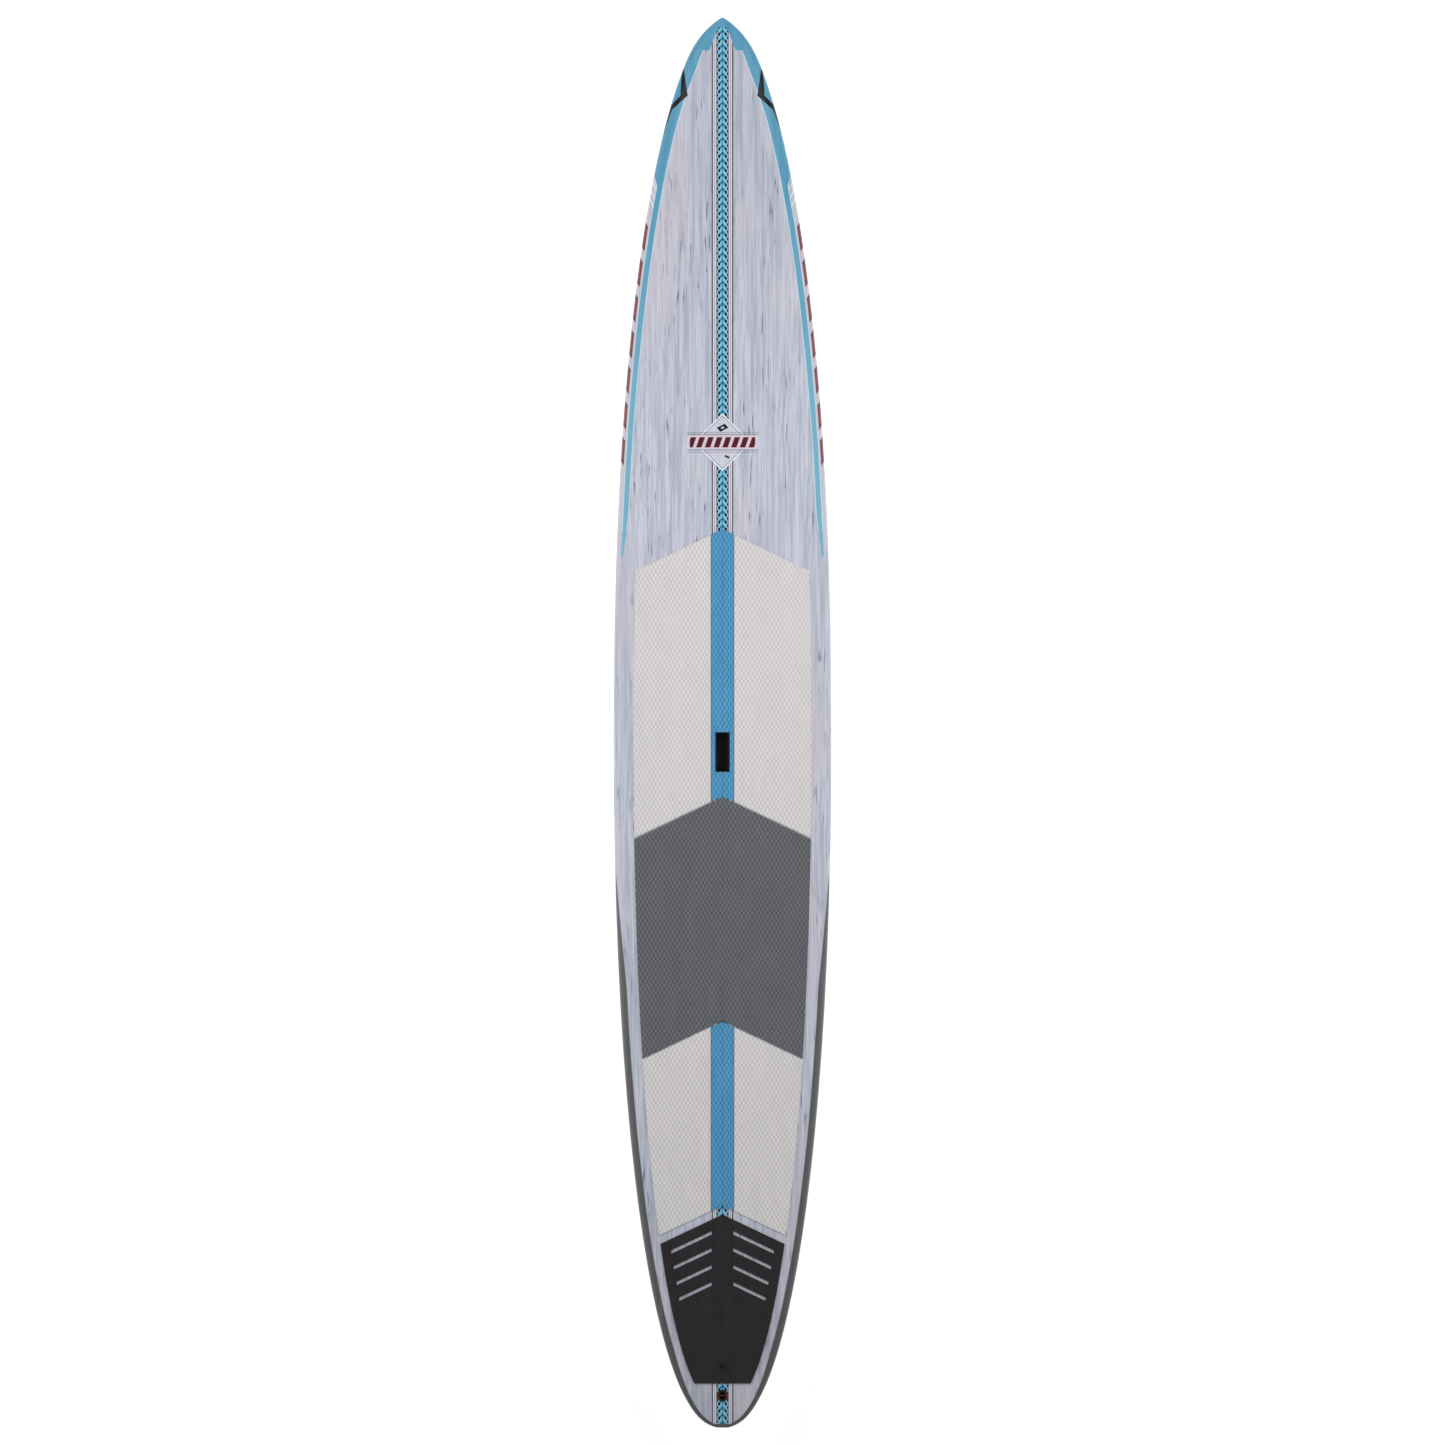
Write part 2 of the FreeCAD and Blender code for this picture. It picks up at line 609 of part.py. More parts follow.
def tail_slots():
    """Four slanted slots each side of the tail pad."""
    outlines = []
    for number in range(SLOTS):
        front = f"{TAIL_PAD_FRONT} - Sizes.slot_first - {number} * Sizes.slot_pitch"
        outer = f"Sizes.slot_outer - {number} * Sizes.slot_step"
        band = side_band(front, f"{front} - Sizes.slot_width", "Sizes.slot_inner", outer)
        outlines += [band, [mirrored(corner) for corner in band]]
    return tall_prism("tail_pad_slots", outlines)


FRONT_REAR = f"{STANDING_FRONT} + Sizes.pad_gap"
REAR_FRONT = f"{STANDING_REAR} - Sizes.pad_gap"
REAR_REAR = f"{TAIL_PAD_FRONT} + Sizes.tail_pad_gap"
tail_corner = on_chevron(TAIL_PAD_FRONT, SIDE)
tail_outline = [("0", TAIL_PAD_FRONT), tail_corner, (SIDE, TAIL_PAD_REAR),
                (f"0 - {SIDE}", TAIL_PAD_REAR), mirrored(tail_corner)]

PIECES += side_pads("front", "Sizes.front_pad_front", FRONT_REAR)
PIECES += side_pads("rear", REAR_FRONT, REAR_REAR)
PIECES += [
    pad_piece("front_strip", chevron("Sizes.front_pad_front", FRONT_REAR, STRIP), [handle_hole]),
    pad_piece("rear_strip", chevron(REAR_FRONT, REAR_REAR, STRIP)),
    pad_piece("standing_pad", chevron(STANDING_FRONT, STANDING_REAR, SIDE)),
    pad_piece("tail_pad", tail_outline, [tail_slots(), vent_window]),
]


# ---------------------------------------------------------------- carry handle

def handle_cup():
    """A moulded recess with finger room under its left edge."""
    body = new_body("handle_cup", HANDLE_FRAME)
    end = f"{CUP_ALONG} / 2"
    finger_end = "Sizes.handle_length / 2 - Sizes.handle_corner"
    add(body, rectangle(CUP_ACROSS, CUP_ALONG), CUP_FLOOR, "Sizes.pad_thickness")
    add(body, block(f"0 - {CUP_SIDE}", f"{CUP_ACROSS} / 2", f"0 - {end}", end),
        CUP_FLOOR, f"{UNDERCUT_ROOF} + Sizes.cup_wall")
    take(body, rectangle("Sizes.handle_width", "Sizes.handle_length"),
         "0 - Sizes.handle_depth", "Sizes.pad_thickness")
    round_uprights(body, "Sizes.handle_corner", "Sizes.handle_width / 2", "Sizes.handle_length / 2")
    take(body, block(f"0 - {UNDERCUT_SIDE}", "0", f"0 - ({finger_end})", finger_end),
         "0 - Sizes.handle_depth", UNDERCUT_ROOF)
    return body


def handle_block():
    """Dense foam round the handle's recess."""
    body = new_body("handle_block", HANDLE_FRAME)
    add(body, rectangle(f"2 * {CUP_SIDE} + {BLOCK_EXTRA}", f"{CUP_ALONG} + {BLOCK_EXTRA}"),
        f"{CUP_FLOOR} - Sizes.block_wall", UNDER_PANEL)
    take(body, rectangle(f"2 * {CUP_SIDE} + {ROUND_GAP}", f"{CUP_ALONG} + {ROUND_GAP}"),
         f"{CUP_FLOOR} - Sizes.seat_gap", UNDER_PANEL)
    return body


PIECES += [handle_cup(), handle_block()]


# ---------------------------------------------------------------- leash plug

def leash_cup():
    """A round cup with a rim, and holes across it for its pin."""
    body = new_body("leash_cup", LEASH_FRAME)
    add(body, circle(LEASH_OUTER), LEASH_FLOOR, "0")
    add(body, circle("Sizes.leash_flange"), "0 - Sizes.flange_thickness", "Sizes.flange_thickness / 2")
    take(body, circle("Sizes.leash_bore"), "0 - Sizes.leash_depth", "Sizes.flange_thickness / 2")
    crosswise(body, circle("Sizes.leash_pin_diameter", y="0 - Sizes.leash_pin_drop"), LEASH_OUTER, True)
    return body


def leash_pin():
    """The pin that a leash's loop is tied to."""
    body = new_body("leash_pin", LEASH_FRAME)
    crosswise(body, circle("Sizes.leash_pin_diameter", y="0 - Sizes.leash_pin_drop"), LEASH_OUTER)
    return body


def leash_block():
    """Dense foam round the leash plug."""
    body = new_body("leash_block", LEASH_FRAME)
    side = f"{LEASH_OUTER} + {BLOCK_EXTRA}"
    add(body, rectangle(side, side), f"{LEASH_FLOOR} - Sizes.seat_gap", UNDER_SKIN)
    take(body, circle(f"{LEASH_OUTER} + {ROUND_GAP}"), f"{LEASH_FLOOR} - Sizes.seat_gap", UNDER_SKIN)
    return body


PIECES += [leash_cup(), leash_pin(), leash_block()]


# ---------------------------------------------------------------- air vent

RING_MIDDLE = "(Sizes.ring_section / 2 + Sizes.thread_clearance)"
HEAD_LOW = "(Sizes.ring_section + 2 * Sizes.thread_clearance)"
VENT_BORE = "(Sizes.vent_thread + 2 * Sizes.thread_clearance)"
RING_TRACK = f"({VENT_BORE} + Sizes.ring_section + 2 * Sizes.thread_clearance)"


def vent_housing():
    """A threaded barrel with a rim that the sealing ring lies on."""
    body = new_body("vent_housing", VENT_FRAME)
    add(body, circle("Sizes.vent_body"), "0 - Sizes.vent_length", "0")
    add(body, circle("Sizes.vent_flange"), "0 - Sizes.flange_thickness", "0")
    take(body, circle(VENT_BORE), "0 - Sizes.vent_length", "0")
    take(body, circle(f"{VENT_BORE} + Sizes.cup_wall"),
         "0 - Sizes.vent_length", "0 - Sizes.vent_length + Sizes.membrane_thickness")
    return body


def vent_membrane():
    """A disc that lets air through but not water."""
    body = new_body("vent_membrane", VENT_FRAME)
    add(body, circle(f"{VENT_BORE} + Sizes.cup_wall"),
        "0 - Sizes.vent_length", "0 - Sizes.vent_length + Sizes.membrane_thickness")
    return body


def vent_screw():
    """A slotted screw that closes the vent."""
    body = new_body("vent_screw", VENT_FRAME)
    add(body, circle("Sizes.vent_thread"), f"{HEAD_LOW} - Sizes.vent_screw_length", HEAD_LOW)
    add(body, circle("Sizes.vent_head"), HEAD_LOW, f"{HEAD_LOW} + Sizes.vent_head_height")
    take(body, rectangle("Sizes.driver_slot", "Sizes.driver_slot_share * Sizes.vent_head"),
         f"{HEAD_LOW} + Sizes.vent_head_height / 2", f"{HEAD_LOW} + Sizes.vent_head_height")
    return body


def vent_ring():
    """The rubber ring under the screw's head."""
    body = new_body("vent_ring", VENT_FRAME)
    draw = circle("Sizes.ring_section", f"{RING_TRACK} / 2", RING_MIDDLE)
    step = body.newObject("PartDesign::Revolution", "vent_ring_turned")
    step.Profile = new_sketch(body, draw, role="XZ_Plane")
    step.ReferenceAxis = (step.Profile[0], ["V_Axis"])
    step.Angle = 360
    return body


PIECES += [vent_housing(), vent_membrane(), vent_screw(), vent_ring()]


# ---------------------------------------------------------------- fin box and fin

TAB_FRONT = "(Sizes.fin_tab_length / 2 - Sizes.fin_tongue / 2)"
TAB_REAR = f"({TAB_FRONT} - Sizes.fin_tab_length)"
TONGUE_FRONT = f"({TAB_FRONT} + Sizes.fin_tongue)"
SCREW_Y = f"({TONGUE_FRONT} - Sizes.fin_screw_inset)"
PIN_Y = f"({TAB_REAR} + Sizes.fin_pin_inset)"
PIN_Z = "(Sizes.groove_low + Sizes.groove_height / 2)"
PLATE_LOW = "(Sizes.groove_low + Sizes.fin_side_clearance)"
PLATE_TOP = f"({PLATE_LOW} + Sizes.nut_plate_thickness)"
TAB_ACROSS = "Sizes.fin_slot_width - 2 * Sizes.fin_side_clearance"
TAB_TOP = "Sizes.fin_slot_depth - 2 * Sizes.fin_side_clearance"
SCREW_HOLE = "Sizes.fin_screw_diameter + 2 * Sizes.thread_clearance"
GATE_ALONG = "Sizes.fin_pin_diameter + Sizes.nut_plate_side"


def fin_box():
    """A long box with a slot, side grooves, and a gate where a pin or plate drops into them."""
    body = new_body("fin_box", FIN_FRAME)
    grooves_top = "Sizes.groove_low + Sizes.groove_height"
    add(body, rectangle(BOX_ACROSS, BOX_ALONG), "0", BOX_TOP)
    take(body, rectangle("Sizes.fin_slot_width", "Sizes.fin_box_slot"), "0", "Sizes.fin_slot_depth")
    take(body, rectangle("Sizes.groove_width", "Sizes.fin_box_slot"), "Sizes.groove_low", grooves_top)
    take(body, rectangle("Sizes.groove_width", GATE_ALONG), "0", grooves_top)
    return body


def fin_box_block():
    """Dense foam over the fin box."""
    body = new_body("fin_box_block", FIN_FRAME)
    low = "3 * Sizes.skin_thickness"
    add(body, rectangle(f"{BOX_ACROSS} + {BLOCK_EXTRA}", f"{BOX_ALONG} + {BLOCK_EXTRA}"),
        low, f"{BOX_TOP} + Sizes.block_wall")
    take(body, rectangle(f"{BOX_ACROSS} + {ROUND_GAP}", f"{BOX_ALONG} + {ROUND_GAP}"),
         low, f"{BOX_TOP} + Sizes.seat_gap")
    return body


def foil_section(number):
    """A thin lens at one depth of the fin: the tip lies behind the root and is shorter."""
    part = number / (FIN_SECTIONS - 1)
    swept = f"Sizes.fin_rake * {part} ^ Sizes.fin_rake_curve"
    middle = f"{TAB_FRONT} + Sizes.fin_lead - Sizes.fin_base / 2 - {swept}"
    chord = f"(Sizes.fin_base - (Sizes.fin_base - Sizes.fin_tip) * {part} ^ Sizes.fin_taper_curve)"
    bulge = f"(Sizes.fin_thickness / 2 * (1 - Sizes.fin_thinning * {part}))"

    def draw(sketch):
        front = Vector(0, worked_out(f"{middle} + {chord} / 2"), 0)
        rear = Vector(0, worked_out(f"{middle} - {chord} / 2"), 0)
        radius = f"(({chord} / 2)^2 + {bulge}^2) / (2 * {bulge})"
        for side in (1, -1):
            peak = Vector(side * worked_out(bulge), worked_out(middle), 0)
            sketch.addGeometry(Part.Arc(front, peak, rear), False)
        for arc in (0, 1):
            held = sketch.addConstraint(Sketcher.Constraint("Radius", arc, worked_out(radius)))
            sketch.setExpression(f"Constraints[{held}]", radius)
        ends = {arc: (1, 2) if (sketch.getPoint(arc, 1) - front).Length < 1 else (2, 1) for arc in (0, 1)}
        for point in (0, 1):
            sketch.addConstraint(Sketcher.Constraint("Coincident", 0, ends[0][point], 1, ends[1][point]))
        tie(sketch, "DistanceX", 0, ends[0][0], "0")
        tie(sketch, "DistanceX", 0, ends[0][1], "0")
        tie(sketch, "DistanceY", 0, ends[0][0], f"{middle} + {chord} / 2")
        tie(sketch, "DistanceY", 0, ends[0][1], f"{middle} - {chord} / 2")
    return draw, f"0 - Sizes.fin_drop - (Sizes.fin_depth - Sizes.fin_drop) * {part}"


def fin():
    """A raked foil with a tab for the box and a tongue for the screw."""
    body = new_body("fin", FIN_FRAME)
    loft = body.newObject("PartDesign::AdditiveLoft", "fin_foil")
    sketches = [new_sketch(body, *foil_section(number)) for number in range(FIN_SECTIONS)]
    loft.Profile = sketches[0]
    loft.Sections = sketches[1:]
    root = "0 - 1.5 * Sizes.fin_drop"
    add(body, rectangle(TAB_ACROSS, "Sizes.fin_tab_length", f"{TAB_FRONT} - Sizes.fin_tab_length / 2"),
        root, TAB_TOP)
    add(body, rectangle(TAB_ACROSS, "Sizes.fin_tongue + Sizes.fin_screw_inset",
                        f"{TONGUE_FRONT} - (Sizes.fin_tongue + Sizes.fin_screw_inset) / 2"),
        root, "Sizes.fin_tongue_thickness")
    take(body, circle(SCREW_HOLE, y=SCREW_Y), root, "Sizes.fin_tongue_thickness")
    take(body, circle("Sizes.fin_screw_head + 2 * Sizes.thread_clearance", y=SCREW_Y),
         root, "Sizes.fin_screw_head_height")
    crosswise(body, circle("Sizes.fin_pin_diameter", PIN_Y, PIN_Z), "Sizes.groove_width", True)
    return body


def fin_pin():
    """The brass pin across the tab's rear end."""
    body = new_body("fin_pin", FIN_FRAME)
    crosswise(body, circle("Sizes.fin_pin_diameter", PIN_Y, PIN_Z),
              "Sizes.groove_width - 2 * Sizes.fin_side_clearance")
    return body


def fin_screw():
    """The screw that clamps the fin's tongue to the nut plate."""
    body = new_body("fin_screw", FIN_FRAME)
    low = "Sizes.fin_side_clearance"
    add(body, circle("Sizes.fin_screw_head", y=SCREW_Y),
        low, "Sizes.fin_screw_head_height - Sizes.thread_clearance")
    add(body, circle("Sizes.fin_screw_diameter", y=SCREW_Y), "Sizes.fin_screw_head_height / 2", PLATE_TOP)
    driver_slot = rectangle("Sizes.driver_slot_share * Sizes.fin_screw_head", "Sizes.driver_slot / 2", SCREW_Y)
    take(body, driver_slot, low, f"{low} + Sizes.fin_screw_head_height / 2")
    return body


def fin_nut_plate():
    """The square plate that rides in the grooves."""
    body = new_body("fin_nut_plate", FIN_FRAME)
    add(body, rectangle("Sizes.nut_plate_side", "Sizes.nut_plate_side", SCREW_Y), PLATE_LOW, PLATE_TOP)
    take(body, circle(SCREW_HOLE, y=SCREW_Y), PLATE_LOW, PLATE_TOP)
    return body


PIECES += [fin_box(), fin_box_block(), fin(), fin_pin(), fin_screw(), fin_nut_plate()]


# ---------------------------------------------------------------- check and write

doc.recompute()
for item in doc.Objects:
    if "Invalid" in item.State or "Error" in item.State:
        raise RuntimeError(f"{item.Name} failed: {item.State}")
for piece in PIECES:
    if piece.Shape.isNull() or not piece.Shape.isValid() or not piece.Shape.Solids:
        raise RuntimeError(f"{piece.Label} is not a valid solid")

os.makedirs("parts", exist_ok=True)
for piece in PIECES:
    piece.Shape.exportStep(f"parts/{piece.Label}.step")
print(len(PIECES), "pieces,", sum(piece.Shape.Volume for piece in PIECES) / 1e6, "litres")
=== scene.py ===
"""The looks of a 14 ft stand up paddleboard: its paint, foam deck pads, fittings, light and camera.

Metres throughout. The nose points along +Y, +X is the right side and Z is up.
"""
import math

import bmesh
import bpy
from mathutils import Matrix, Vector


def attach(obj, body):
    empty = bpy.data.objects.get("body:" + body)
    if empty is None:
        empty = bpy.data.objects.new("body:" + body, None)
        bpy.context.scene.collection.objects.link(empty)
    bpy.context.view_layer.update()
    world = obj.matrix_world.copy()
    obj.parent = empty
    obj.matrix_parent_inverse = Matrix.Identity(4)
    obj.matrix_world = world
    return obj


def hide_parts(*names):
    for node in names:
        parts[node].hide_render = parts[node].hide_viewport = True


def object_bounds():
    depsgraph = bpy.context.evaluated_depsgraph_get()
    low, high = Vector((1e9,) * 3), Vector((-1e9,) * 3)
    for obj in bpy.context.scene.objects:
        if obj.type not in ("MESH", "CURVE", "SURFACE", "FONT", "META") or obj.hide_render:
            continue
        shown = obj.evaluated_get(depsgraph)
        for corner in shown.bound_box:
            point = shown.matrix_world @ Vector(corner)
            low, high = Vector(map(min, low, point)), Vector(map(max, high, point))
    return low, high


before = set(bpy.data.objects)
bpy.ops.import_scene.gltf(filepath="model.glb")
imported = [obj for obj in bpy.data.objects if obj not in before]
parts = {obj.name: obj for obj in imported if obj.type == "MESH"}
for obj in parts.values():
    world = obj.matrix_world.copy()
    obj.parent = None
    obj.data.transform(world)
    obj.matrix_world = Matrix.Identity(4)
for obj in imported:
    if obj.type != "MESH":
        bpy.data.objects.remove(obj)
cad_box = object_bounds()

# ---------------------------------------------------------------- sizes

LENGTH = 4.267
WIDTH = 0.660
TIP = LENGTH / 2 + 0.0015
WIDE_POINT = LENGTH / 2 - 2.190
TAIL_END = -LENGTH / 2
APEX_SHARE = 0.46
DECK_POWER = 5
PAD_THICKNESS = 0.005
PAD_MARGIN = 0.061
STRIP_HALF = 0.034
STRIP_GAP = 0.0015
PAD_GAP = 0.004
CHEVRON_SLOPE = math.tan(math.radians(25.4))
FRONT_PAD_FRONT = 0.586
STANDING_FRONT = -0.225
STANDING_REAR = STANDING_FRONT - 0.675
TAIL_PAD_REAR = TAIL_END + 0.134
TAIL_PAD_FRONT = TAIL_PAD_REAR + 0.512
TAIL_PAD_GAP = 0.0275
DIAMOND_WIDTH = 0.013
DIAMOND_LENGTH = 0.023
GROOVE_DEPTH = 0.0013
DIAMOND_SHARE = 0.84

# The nose is drawn in to a point over a short reach from its tip.
POINT_REACH = 0.022
POINT_SHARE = 0.6

# Each end of the board: curve and power of its outline, then tip thickness, curve and power of its
# thickness, and the rise of its bottom.
NOSE = (2.25, 0.543, 0.026, 2.2, 0.76, 0.170)
TAIL = (2.1, 0.446, 0.024, 2.0, 0.80, 0.075)
THICKNESS = 0.170
ROCKER_POWER = 2.6
FLAT_TRIM = 0.001


# ---------------------------------------------------------------- the board's own curves

def end_of(y, inset=0.0):
    """The end that a place along the board belongs to, and how far it is from that tip, from 0 to 1."""
    end = NOSE if y >= WIDE_POINT else TAIL
    tip = (TIP - inset) * (1 if y >= WIDE_POINT else -1)
    return end, min(max((tip - y) / (tip - WIDE_POINT), 0), 1)


def half_width(y, inset=0.0):
    """Half the width of the outline, drawn in by inset all round."""
    end, share = end_of(y, inset)
    point = 1 - POINT_SHARE * math.exp((y - TIP) / POINT_REACH)
    return (WIDTH / 2 - inset) * (1 - (1 - share) ** end[0]) ** end[1] * point


def deck_height(x, y):
    """Height of the deck's surface."""
    end, share = end_of(y)
    thickness = end[2] + (THICKNESS - end[2]) * (1 - (1 - share) ** end[3]) ** end[4]
    bottom = end[5] * (1 - share) ** ROCKER_POWER - FLAT_TRIM
    across = min(abs(x) / max(half_width(y), 1e-6), 1)
    return bottom + thickness * (APEX_SHARE + (1 - APEX_SHARE) * math.sqrt(1 - across ** DECK_POWER))


# ---------------------------------------------------------------- wiring of the finishes

def shade(red, green, blue):
    """A colour from its 0 to 255 screen values."""
    part = [value / 255 for value in (red, green, blue)]
    return tuple(p / 12.92 if p < 0.04045 else ((p + 0.055) / 1.055) ** 2.4 for p in part) + (1.0,)


class Wire:
    """A number inside a finish. Sums on it become Math nodes."""

    def __init__(self, tree, socket):
        self.tree = tree
        self.socket = socket

    def sum(self, operation, *values, clamp=False):
        node = self.tree.nodes.new("ShaderNodeMath")
        node.operation = operation
        node.use_clamp = clamp
        for socket, value in zip(node.inputs, (self, *values)):
            plug(self.tree, socket, value)
        return Wire(self.tree, node.outputs[0])

    def __add__(self, other):
        return self.sum("ADD", other)

    def __sub__(self, other):
        return self.sum("SUBTRACT", other)

    def __mul__(self, other):
        return self.sum("MULTIPLY", other)

    def __truediv__(self, other):
        return self.sum("DIVIDE", other)

    def __pow__(self, other):
        return self.sum("POWER", other)

    def __rsub__(self, other):
        return self.sum("MULTIPLY_ADD", -1.0, other)

    __radd__ = __add__
    __rmul__ = __mul__

    def least(self, other):
        return self.sum("MINIMUM", other)

    def most(self, other):
        return self.sum("MAXIMUM", other)

    def size(self):
        return self.sum("ABSOLUTE")

    def share_of(self, pitch):
        """How far along its repeat this number is, from 0 to 1."""
        return (self / pitch).sum("FRACT")

    def ramp(self, low, high, start=0.0, end=1.0, smooth=False):
        """Runs from start to end while this number runs from low to high."""
        node = self.tree.nodes.new("ShaderNodeMapRange")
        node.interpolation_type = "SMOOTHSTEP" if smooth else "LINEAR"
        for socket, value in zip(node.inputs, (self, low, high, start, end)):
            plug(self.tree, socket, value)
        return Wire(self.tree, node.outputs[0])

    def above(self, edge, soft=0.0006):
        """1 where this number is over the edge, else 0, with a soft step."""
        return ((self - edge) / soft).sum("ADD", 0.5, clamp=True)

    def below(self, edge, soft=0.0006):
        return ((self - edge) / -soft).sum("ADD", 0.5, clamp=True)

    def within(self, low, high, soft=0.0006):
        return self.above(low, soft) * self.below(high, soft)


def plug(tree, socket, value):
    """Joins a wire or an output to a socket, or sets the socket to a plain value."""
    if isinstance(value, Wire):
        value = value.socket
    if isinstance(value, bpy.types.NodeSocket):
        tree.links.new(value, socket)
    else:
        socket.default_value = value


class Finish:
    """A material or a node group with short calls to add to it."""

    def __init__(self, tree):
        self.tree = tree

    def node(self, kind, **settings):
        made = self.tree.nodes.new(f"ShaderNode{kind}")
        for name, value in settings.items():
            setattr(made, name, value)
        return made

    def place(self):
        """The board's own coordinates, as a vector and as wires for across and along."""
        spot = self.node("TexCoord").outputs["Object"]
        split = self.node("SeparateXYZ")
        plug(self.tree, split.inputs[0], spot)
        return spot, Wire(self.tree, split.outputs["X"]), Wire(self.tree, split.outputs["Y"])

    def stretched(self, spot, scale):
        mapping = self.node("Mapping")
        plug(self.tree, mapping.inputs["Vector"], spot)
        mapping.inputs["Scale"].default_value = scale
        return mapping.outputs[0]

    def noise(self, spot, scale=(1, 1, 1), detail=3.0, rough=0.5, size=1.0):
        """Cloudy noise, from 0 to 1, with its grain stretched."""
        made = self.node("TexNoise")
        plug(self.tree, made.inputs["Vector"], self.stretched(spot, scale))
        made.inputs["Scale"].default_value = size
        made.inputs["Detail"].default_value = detail
        made.inputs["Roughness"].default_value = rough
        return Wire(self.tree, made.outputs[0])

    def cells(self, spot, scale):
        made = self.node("TexVoronoi", feature="F1")
        plug(self.tree, made.inputs["Vector"], self.stretched(spot, scale))
        made.inputs["Scale"].default_value = 1.0
        return Wire(self.tree, made.outputs["Distance"])

    def mix(self, amount, first, second):
        made = self.node("Mix", data_type="RGBA")
        plug(self.tree, made.inputs[0], amount)
        plug(self.tree, made.inputs[6], first)
        plug(self.tree, made.inputs[7], second)
        return made.outputs[2]

    def bump(self, height, distance, strength=1.0):
        made = self.node("Bump")
        plug(self.tree, made.inputs["Height"], height)
        made.inputs["Distance"].default_value = distance
        made.inputs["Strength"].default_value = strength
        return made.outputs[0]


def new_finish(name):
    """An empty material: its Finish, its shader and the material."""
    material = bpy.data.materials.new(name)
    material.use_nodes = True
    tree = material.node_tree
    tree.nodes.clear()
    finish = Finish(tree)
    shader = finish.node("BsdfPrincipled")
    output = finish.node("OutputMaterial")
    tree.links.new(shader.outputs[0], output.inputs[0])
    return finish, shader, material


def wear(node, material):
    """Gives a part its finish."""
    part = parts[node]
    for slot in part.material_slots:
        slot.material = material


# ---------------------------------------------------------------- painted artwork

WHITE = shade(200, 203, 215)
STREAK = shade(158, 165, 183)
DASH = shade(100, 108, 134)
BLUSH = shade(206, 194, 203)
BLUE = shade(84, 150, 180)
PALE_BLUE = shade(112, 170, 196)
PALE_EDGE = shade(200, 220, 234)
RAIL_GREY = shade(188, 189, 200)
DARK_RAIL = shade(80, 78, 78)
BLACK = shade(18, 20, 25)
RED = shade(120, 42, 48)
HALO = shade(214, 176, 184)
TEAL = shade(104, 176, 204)
DEEP_TEAL = shade(34, 100, 134)
GROUND = shade(200, 199, 208)
GREY_TEAL = shade(146, 168, 184)
PURPLE = shade(64, 58, 78)

# Places along the board: where the blue stripes end, where the black chevrons point to, and where the
# nose paint opens for the braid.
STRIPE_END_Y = 0.503
CHEVRON_Y = 1.898
BRAID_OPEN_Y = 2.0348
BRAID_PITCH = 0.0217
EMBLEM_Y = 0.8494
EMBLEM_HALF = 0.087


def outline_wires(x, y):
    """How far a spot lies inside the outline, squared to its edge, from the outline's own curve."""
    near = []
    for (curve, power, *rest), tip in ((NOSE, TIP), (TAIL, -TIP)):
        reach = tip - WIDE_POINT
        share = ((tip - y) / reach).most(0.0004).least(1.0)
        left = 1.0 - share
        fill = 1.0 - left ** curve
        half = fill ** power * (WIDTH / 2)
        slope = fill ** (power - 1) * left ** (curve - 1) * (WIDTH / 2 * power * curve / abs(reach))
        near.append((half - x.size()) / (slope * slope + 1.0) ** 0.5)
    nose_end = y.above(WIDE_POINT, 0.001)
    point = 1.0 - ((y - TIP) / POINT_REACH).sum("EXPONENT") * POINT_SHARE
    inset = (near[0] * nose_end + near[1] * (1.0 - nose_end)) * point
    return inset.least(TIP - y.size())


